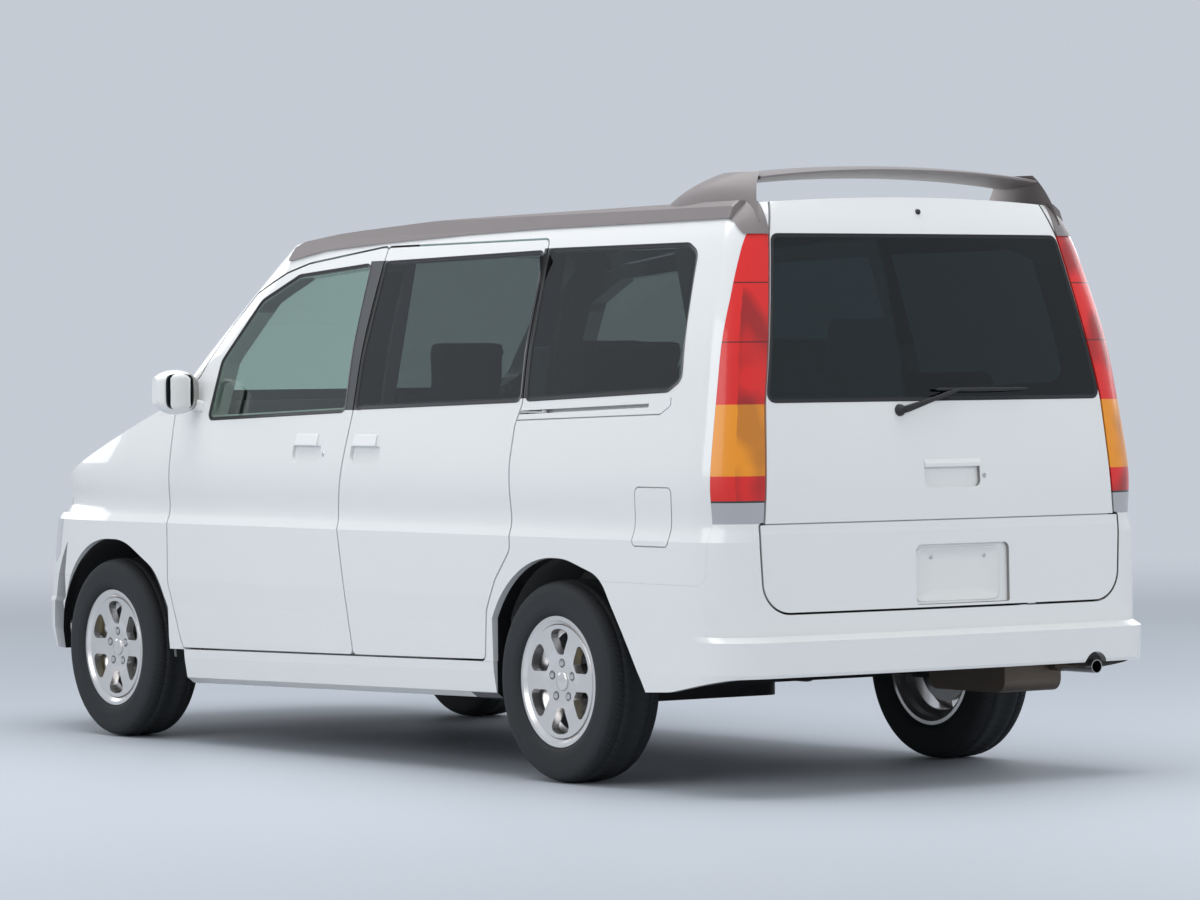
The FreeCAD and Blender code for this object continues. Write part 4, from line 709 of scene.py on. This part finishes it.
def blade_line(start, end, out):
    """Places along the blade from start to end across the van, bowed by 2 mm, out from the glass."""
    return [on_tail(y, BLADE_Z + 0.002 * math.sin((y - 0.03) * 8), out)
            for y in np.linspace(start, end, BLADE_PLACES)]


BLADE_Z, BLADE_PLACES = 1.222, 24
PIVOT, ELBOW = (0.167, 1.160), (-0.055, BLADE_Z)
ARM = [(0.0, 0.014, (0.022, 0.014)), (0.10, 0.020, (0.022, 0.014)), (0.45, 0.024, (0.015, 0.010)),
       (0.8, 0.026, (0.013, 0.009)), (0.94, 0.024, (0.012, 0.008)), (1.0, 0.020, (0.010, 0.007))]
arm_path = [on_tail(PIVOT[0] + (ELBOW[0] - PIVOT[0]) * share, PIVOT[1] + (ELBOW[1] - PIVOT[1]) * share, out)
            for share, out, _ in ARM]
piece("wiper_arm", sweep("wiper_arm", arm_path, [size for _, _, size in ARM]), black_plastic, "tailgate")
blade_sizes = [(0.006 + 0.007 * math.sin(math.pi * k / (BLADE_PLACES - 1)) ** 0.5, 0.012)
               for k in range(BLADE_PLACES)]
piece("wiper_blade", sweep("wiper_blade", blade_line(0.028, -0.338, 0.012), blade_sizes), black_plastic,
      "tailgate")
rubber_sizes = [(0.003, 0.0076)] * BLADE_PLACES
piece("wiper_rubber", sweep("wiper_rubber", blade_line(0.024, -0.334, 0.0042), rubber_sizes), rubber_lip,
      "tailgate")
BOOT = [(0.019, -0.004), (0.018, 0.006), (0.014, 0.012), (0.010, 0.020), (0.0004, 0.021)]
turned("wiper_boot", BOOT, on_tail(*PIVOT, 0.0), (-1, 0, 0), black_plastic, "tailgate")
NOZZLE, NOZZLE_PLACE = [(0.009, -0.003), (0.0085, 0.004), (0.005, 0.009), (0.0004, 0.010)], (-0.008, 1.771)
turned("washer_nozzle", NOZZLE, on_tail(*NOZZLE_PLACE, 0.0), (-1, 0, 0), black_plastic, "tailgate", 24)

# The number plate is a blank pressed sheet with a raised border. Two domed screws hold it in the
# tailgate's recess.
PLATE_Y, PLATE_Z, PLATE_HALF_WIDTH, PLATE_HALF_HEIGHT = -0.037, 0.654, 0.165, 0.0825
PLATE_OUT, PLATE_CORNER, SCREW_APART, SCREW_Z = 0.0026, 0.16, 0.105, 0.708
plate_x = on_tail(PLATE_Y, PLATE_Z, 0.0)[0] - PLATE_OUT
share = np.array([0.002, 0.5, 0.955, 0.962, 0.978, 0.985, 0.998, 1.0])
height = np.array([0.0, 0.0, 0.0, 0.0012, 0.0012, 0.0002, 0.0002, -0.0014])
angle = np.linspace(0, 2 * math.pi, 96, endpoint=False)[:, None]
plate_points = np.stack([plate_x - height + 0 * angle,
                         PLATE_Y + PLATE_HALF_WIDTH * squared(np.cos(angle), PLATE_CORNER) * share,
                         PLATE_Z + PLATE_HALF_HEIGHT * squared(np.sin(angle), PLATE_CORNER) * share], axis=-1)
plate_white = grained("plate_white", (0.78, 0.78, 0.76), 1200.0, 0.1, 0.03, Roughness=0.4, Coat_Weight=0.4)
piece("number_plate", surface("number_plate", plate_points[:, ::-1], True), plate_white, "tailgate")
SCREW = [(0.0066, 0.0), (0.0064, 0.0016), (0.004, 0.0030), (0.0003, 0.0034)]
screws = [lathe(SCREW, (plate_x, PLATE_Y + k * SCREW_APART, SCREW_Z), (-1, 0, 0), 24) for k in (-1, 1)]
piece("plate_screws", joined("plate_screws", screws), chrome, "tailgate")

# The front doors and the tailgate each have a key barrel by the handle. The barrels are chromed, with a
# dip for the key.
BARREL = [(0.0080, -0.004), (0.0080, 0.0010), (0.0070, 0.0018), (0.0022, 0.0018), (0.0020, 0.0008),
          (0.0003, 0.0008)]
DOOR_LOCK_X, DOOR_LOCK_Z, TAIL_LOCK = 0.030, 1.018, (-0.146, 0.955)
for hand, side in (("left", 1), ("right", -1)):
    far_out = (DOOR_LOCK_X, side * RAY_START, DOOR_LOCK_Z)
    place = tuple(outside_of(("front_door_" + hand,), far_out, (0, -side, 0)))
    turned("door_lock_" + hand, BARREL, place, (0, side, 0), chrome, "door_" + hand, 32)
turned("tailgate_lock", BARREL, on_tail(*TAIL_LOCK, 0.0), (-1, 0, 0), chrome, "tailgate", 32)


# The rear wheelhouses wear moulded grey felt, which also fills the heel behind each arch, apart from a
# slit along the side wall. A carpet of the same felt lies on the load floor behind them.
HEEL = np.array([(0.0, 0.388), (-0.070, 0.388), (-0.262, 0.337), (-0.398, 0.134), (-0.484, -0.003)])
HOUSE_RADIUS, FELT = 0.4025, 0.012
felt = grained("felt", (0.085, 0.083, 0.08), 420.0, 0.9, 0.45, (0.002, 0.6), Roughness=0.95, Sheen_Weight=0.3)


def capped(rows):
    """A row of sections with each end drawn to its middle, so that the surface closes."""
    first, last = (np.repeat(end.mean(axis=1, keepdims=True), rows.shape[1], axis=1)
                   for end in (rows[:1], rows[-1:]))
    return np.concatenate([first, rows, last])


def house_trim(side):
    """Round the axle line, from just over the wheelhouse to the larger of it and the arch's heel. The edge
    of the heel between corners A and B lies at |A x (B - A)| / |u x (B - A)| in the direction u."""
    angle = np.radians(np.linspace(31, 156, 72))
    way = np.stack([np.cos(angle), np.sin(angle)], axis=1)
    reach = np.full(len(angle), HOUSE_RADIUS)
    turns = np.arctan2(HEEL[:, 1], HEEL[:, 0]) % (2 * math.pi)
    for i, (start, end) in enumerate(zip(HEEL, HEEL[1:])):
        edge = end - start
        distance = (start[0] * edge[1] - start[1] * edge[0]) / (way[:, 0] * edge[1] - way[:, 1] * edge[0])
        here = (angle >= turns[i]) & (angle <= turns[i + 1])
        reach = np.where(here, np.maximum(reach, distance), reach)
    outer = reach + FELT
    inner = np.full(len(angle), HOUSE_RADIUS)
    section = [(0.558, inner), (0.558, outer - 0.010), (0.561, outer - 0.003), (0.569, outer),
               (0.776, outer), (0.776, inner)]
    rows = [np.stack([radius * way[:, 0] + REAR_AXLE, np.full(len(angle), side * y),
                      radius * way[:, 1] + WHEEL_Z], axis=1) for y, radius in section]
    return capped(np.stack(rows, axis=1))


for name, rows in (("wheelhouse_trim_left", house_trim(1.0)[:, ::-1]),
                   ("wheelhouse_trim_right", house_trim(-1.0))):
    piece(name, surface(name, rows, False, True), felt, "root")
CARPET_SECTION = [(-0.764, 0.4806), (-0.764, 0.4850), (-0.760, 0.4872), (0.760, 0.4872), (0.764, 0.4850),
                  (0.764, 0.4806)]
CARPET_ENDS = (-2.135, -2.132, -1.709, -1.706)
carpet = np.array([[(x, y, z) for y, z in CARPET_SECTION] for x in CARPET_ENDS])
piece("load_carpet", surface("load_carpet", capped(carpet), False, True), felt, "root")

# The seats are foam under a woven grey cloth, sewn in a middle panel with a bolster on each side.
# Each starts as its CAD solid, drawn in a little, and is swollen by air pressure under the cloth.
weave, weave_in, weave_out = new_group(
    "weave", [("Colour", "NodeSocketColor", (0.1, 0.1, 0.1, 1.0)), ("Thread", "NodeSocketFloat", 700.0)],
    [("Colour", "NodeSocketColor"), ("Height", "NodeSocketFloat")])
place = put(weave, "ShaderNodeTexCoord").outputs["Object"]
warp, weft = (put(weave, "ShaderNodeTexWave", {"Vector": place, "Scale": weave_in.outputs["Thread"]},
                  bands_direction=direction).outputs["Fac"] for direction in ("Y", "DIAGONAL"))
threads = maths(weave, "MAXIMUM", warp, weft)
fleck = put(weave, "ShaderNodeTexNoise", {"Vector": place, "Scale": 55.0, "Detail": 5.0})
flecked = maths(weave, "MULTIPLY_ADD", fleck.outputs["Fac"], 0.5, 0.55)
shade = maths(weave, "MULTIPLY_ADD", threads, 0.35, flecked)
weave_scaled = put(weave, "ShaderNodeVectorMath", {0: weave_in.outputs["Colour"], "Scale": shade},
                   operation="SCALE")
weave.links.new(weave_scaled.outputs[0], weave_out.inputs["Colour"])
weave.links.new(threads, weave_out.inputs["Height"])
seat_cloth, tree, shader = new_material("seat_cloth", Roughness=0.9, Sheen_Weight=0.35)
woven = use_group(tree, weave, Colour=(0.155, 0.155, 0.165, 1.0), Thread=700.0)
tree.links.new(woven.outputs["Colour"], shader.inputs["Base Color"])
bumped(tree, shader, woven.outputs["Height"], 0.001, 0.5)


def vertex_normals(mesh):
    """The normals at a mesh's vertices, in rows."""
    flat = np.empty(len(mesh.vertices) * 3)
    mesh.vertex_normals.foreach_get("vector", flat)
    return flat.reshape(-1, 3)


def evaluated(made):
    """The mesh of an object as its modifiers make it."""
    graph = bpy.context.evaluated_depsgraph_get()
    return bpy.data.meshes.new_from_object(made.evaluated_get(graph))


VOXEL, DRAWN_IN, MOST = 0.015, 0.007, 0.012
PRESSURE, LAST_FRAME = 4.0, 20
SEAM_WIDTH, SEAM_DEPTH = 0.009, 0.008


def soft_seat(name, node, base_top, seams):
    """A padded copy of a seat: remeshed, drawn in, swollen by the cloth's pressure above its base, with
    a sewn seam along each of the given |y| lines on the faces that look up or forward."""
    mesh = nodes[node].data.copy()
    work = bmesh.new()
    work.from_mesh(mesh)
    bmesh.ops.remove_doubles(work, verts=work.verts, dist=1e-5)
    work.to_mesh(mesh)
    work.free()
    made = bpy.data.objects.new(name, mesh)
    bpy.context.scene.collection.objects.link(made)
    remesh = made.modifiers.new("remesh", "REMESH")
    remesh.mode, remesh.voxel_size = "VOXEL", VOXEL
    made.data = evaluated(made)
    made.modifiers.clear()
    start = coordinates(made.data) - DRAWN_IN * vertex_normals(made.data)
    made.data.vertices.foreach_set("co", start.reshape(-1))
    pinned = made.vertex_groups.new(name="base")
    pinned.add([int(i) for i in np.flatnonzero(start[:, 2] < base_top)], 1.0, "REPLACE")
    cloth = made.modifiers.new("cloth", "CLOTH")
    cloth.settings.vertex_group_mass = "base"
    cloth.settings.use_pressure = True
    cloth.settings.uniform_pressure_force = PRESSURE
    cloth.settings.effector_weights.gravity = 0.0
    for frame_number in range(1, LAST_FRAME + 1):
        bpy.context.scene.frame_set(frame_number)
    swollen = evaluated(made)
    moved = coordinates(swollen) - start
    length = np.linalg.norm(moved, axis=1)[:, None]
    start = start + moved * np.minimum(1.0, MOST / np.maximum(length, 1e-9))
    bpy.data.meshes.remove(swollen)
    made.modifiers.clear()
    bpy.context.scene.frame_set(1)
    made.data.vertices.foreach_set("co", start.reshape(-1))
    finer = made.modifiers.new("finer", "SUBSURF")
    finer.levels = finer.render_levels = 1
    made.data = evaluated(made)
    made.modifiers.clear()
    made.data.name = name
    place, normal = coordinates(made.data), vertex_normals(made.data)
    open_face = np.clip((np.maximum(normal[:, 0], normal[:, 2]) - 0.3) / 0.4, 0, 1) * (place[:, 2] > base_top)
    depth = sum(np.exp(-((np.abs(place[:, 1]) - seam) / SEAM_WIDTH) ** 2) for seam in seams)
    place = place - (SEAM_DEPTH * np.clip(depth, 0, 1) * open_face)[:, None] * normal
    made.data.vertices.foreach_set("co", place.reshape(-1))
    made.data.polygons.foreach_set("use_smooth", np.ones(len(made.data.polygons), dtype=bool))
    made.data.materials.clear()
    made.data.materials.append(seat_cloth)
    made.data.update()
    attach(made, "root")
    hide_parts(node)


SEAT_BASE, BENCH_BASE = 0.575, 0.63
soft_seat("front_seat_pads", "front_seats", SEAT_BASE, (0.215, 0.525))
soft_seat("middle_seat_pads", "middle_seats", SEAT_BASE, (0.215, 0.525))
soft_seat("rear_seat_pads", "rear_seat", BENCH_BASE, (0.0, 0.19, 0.42))
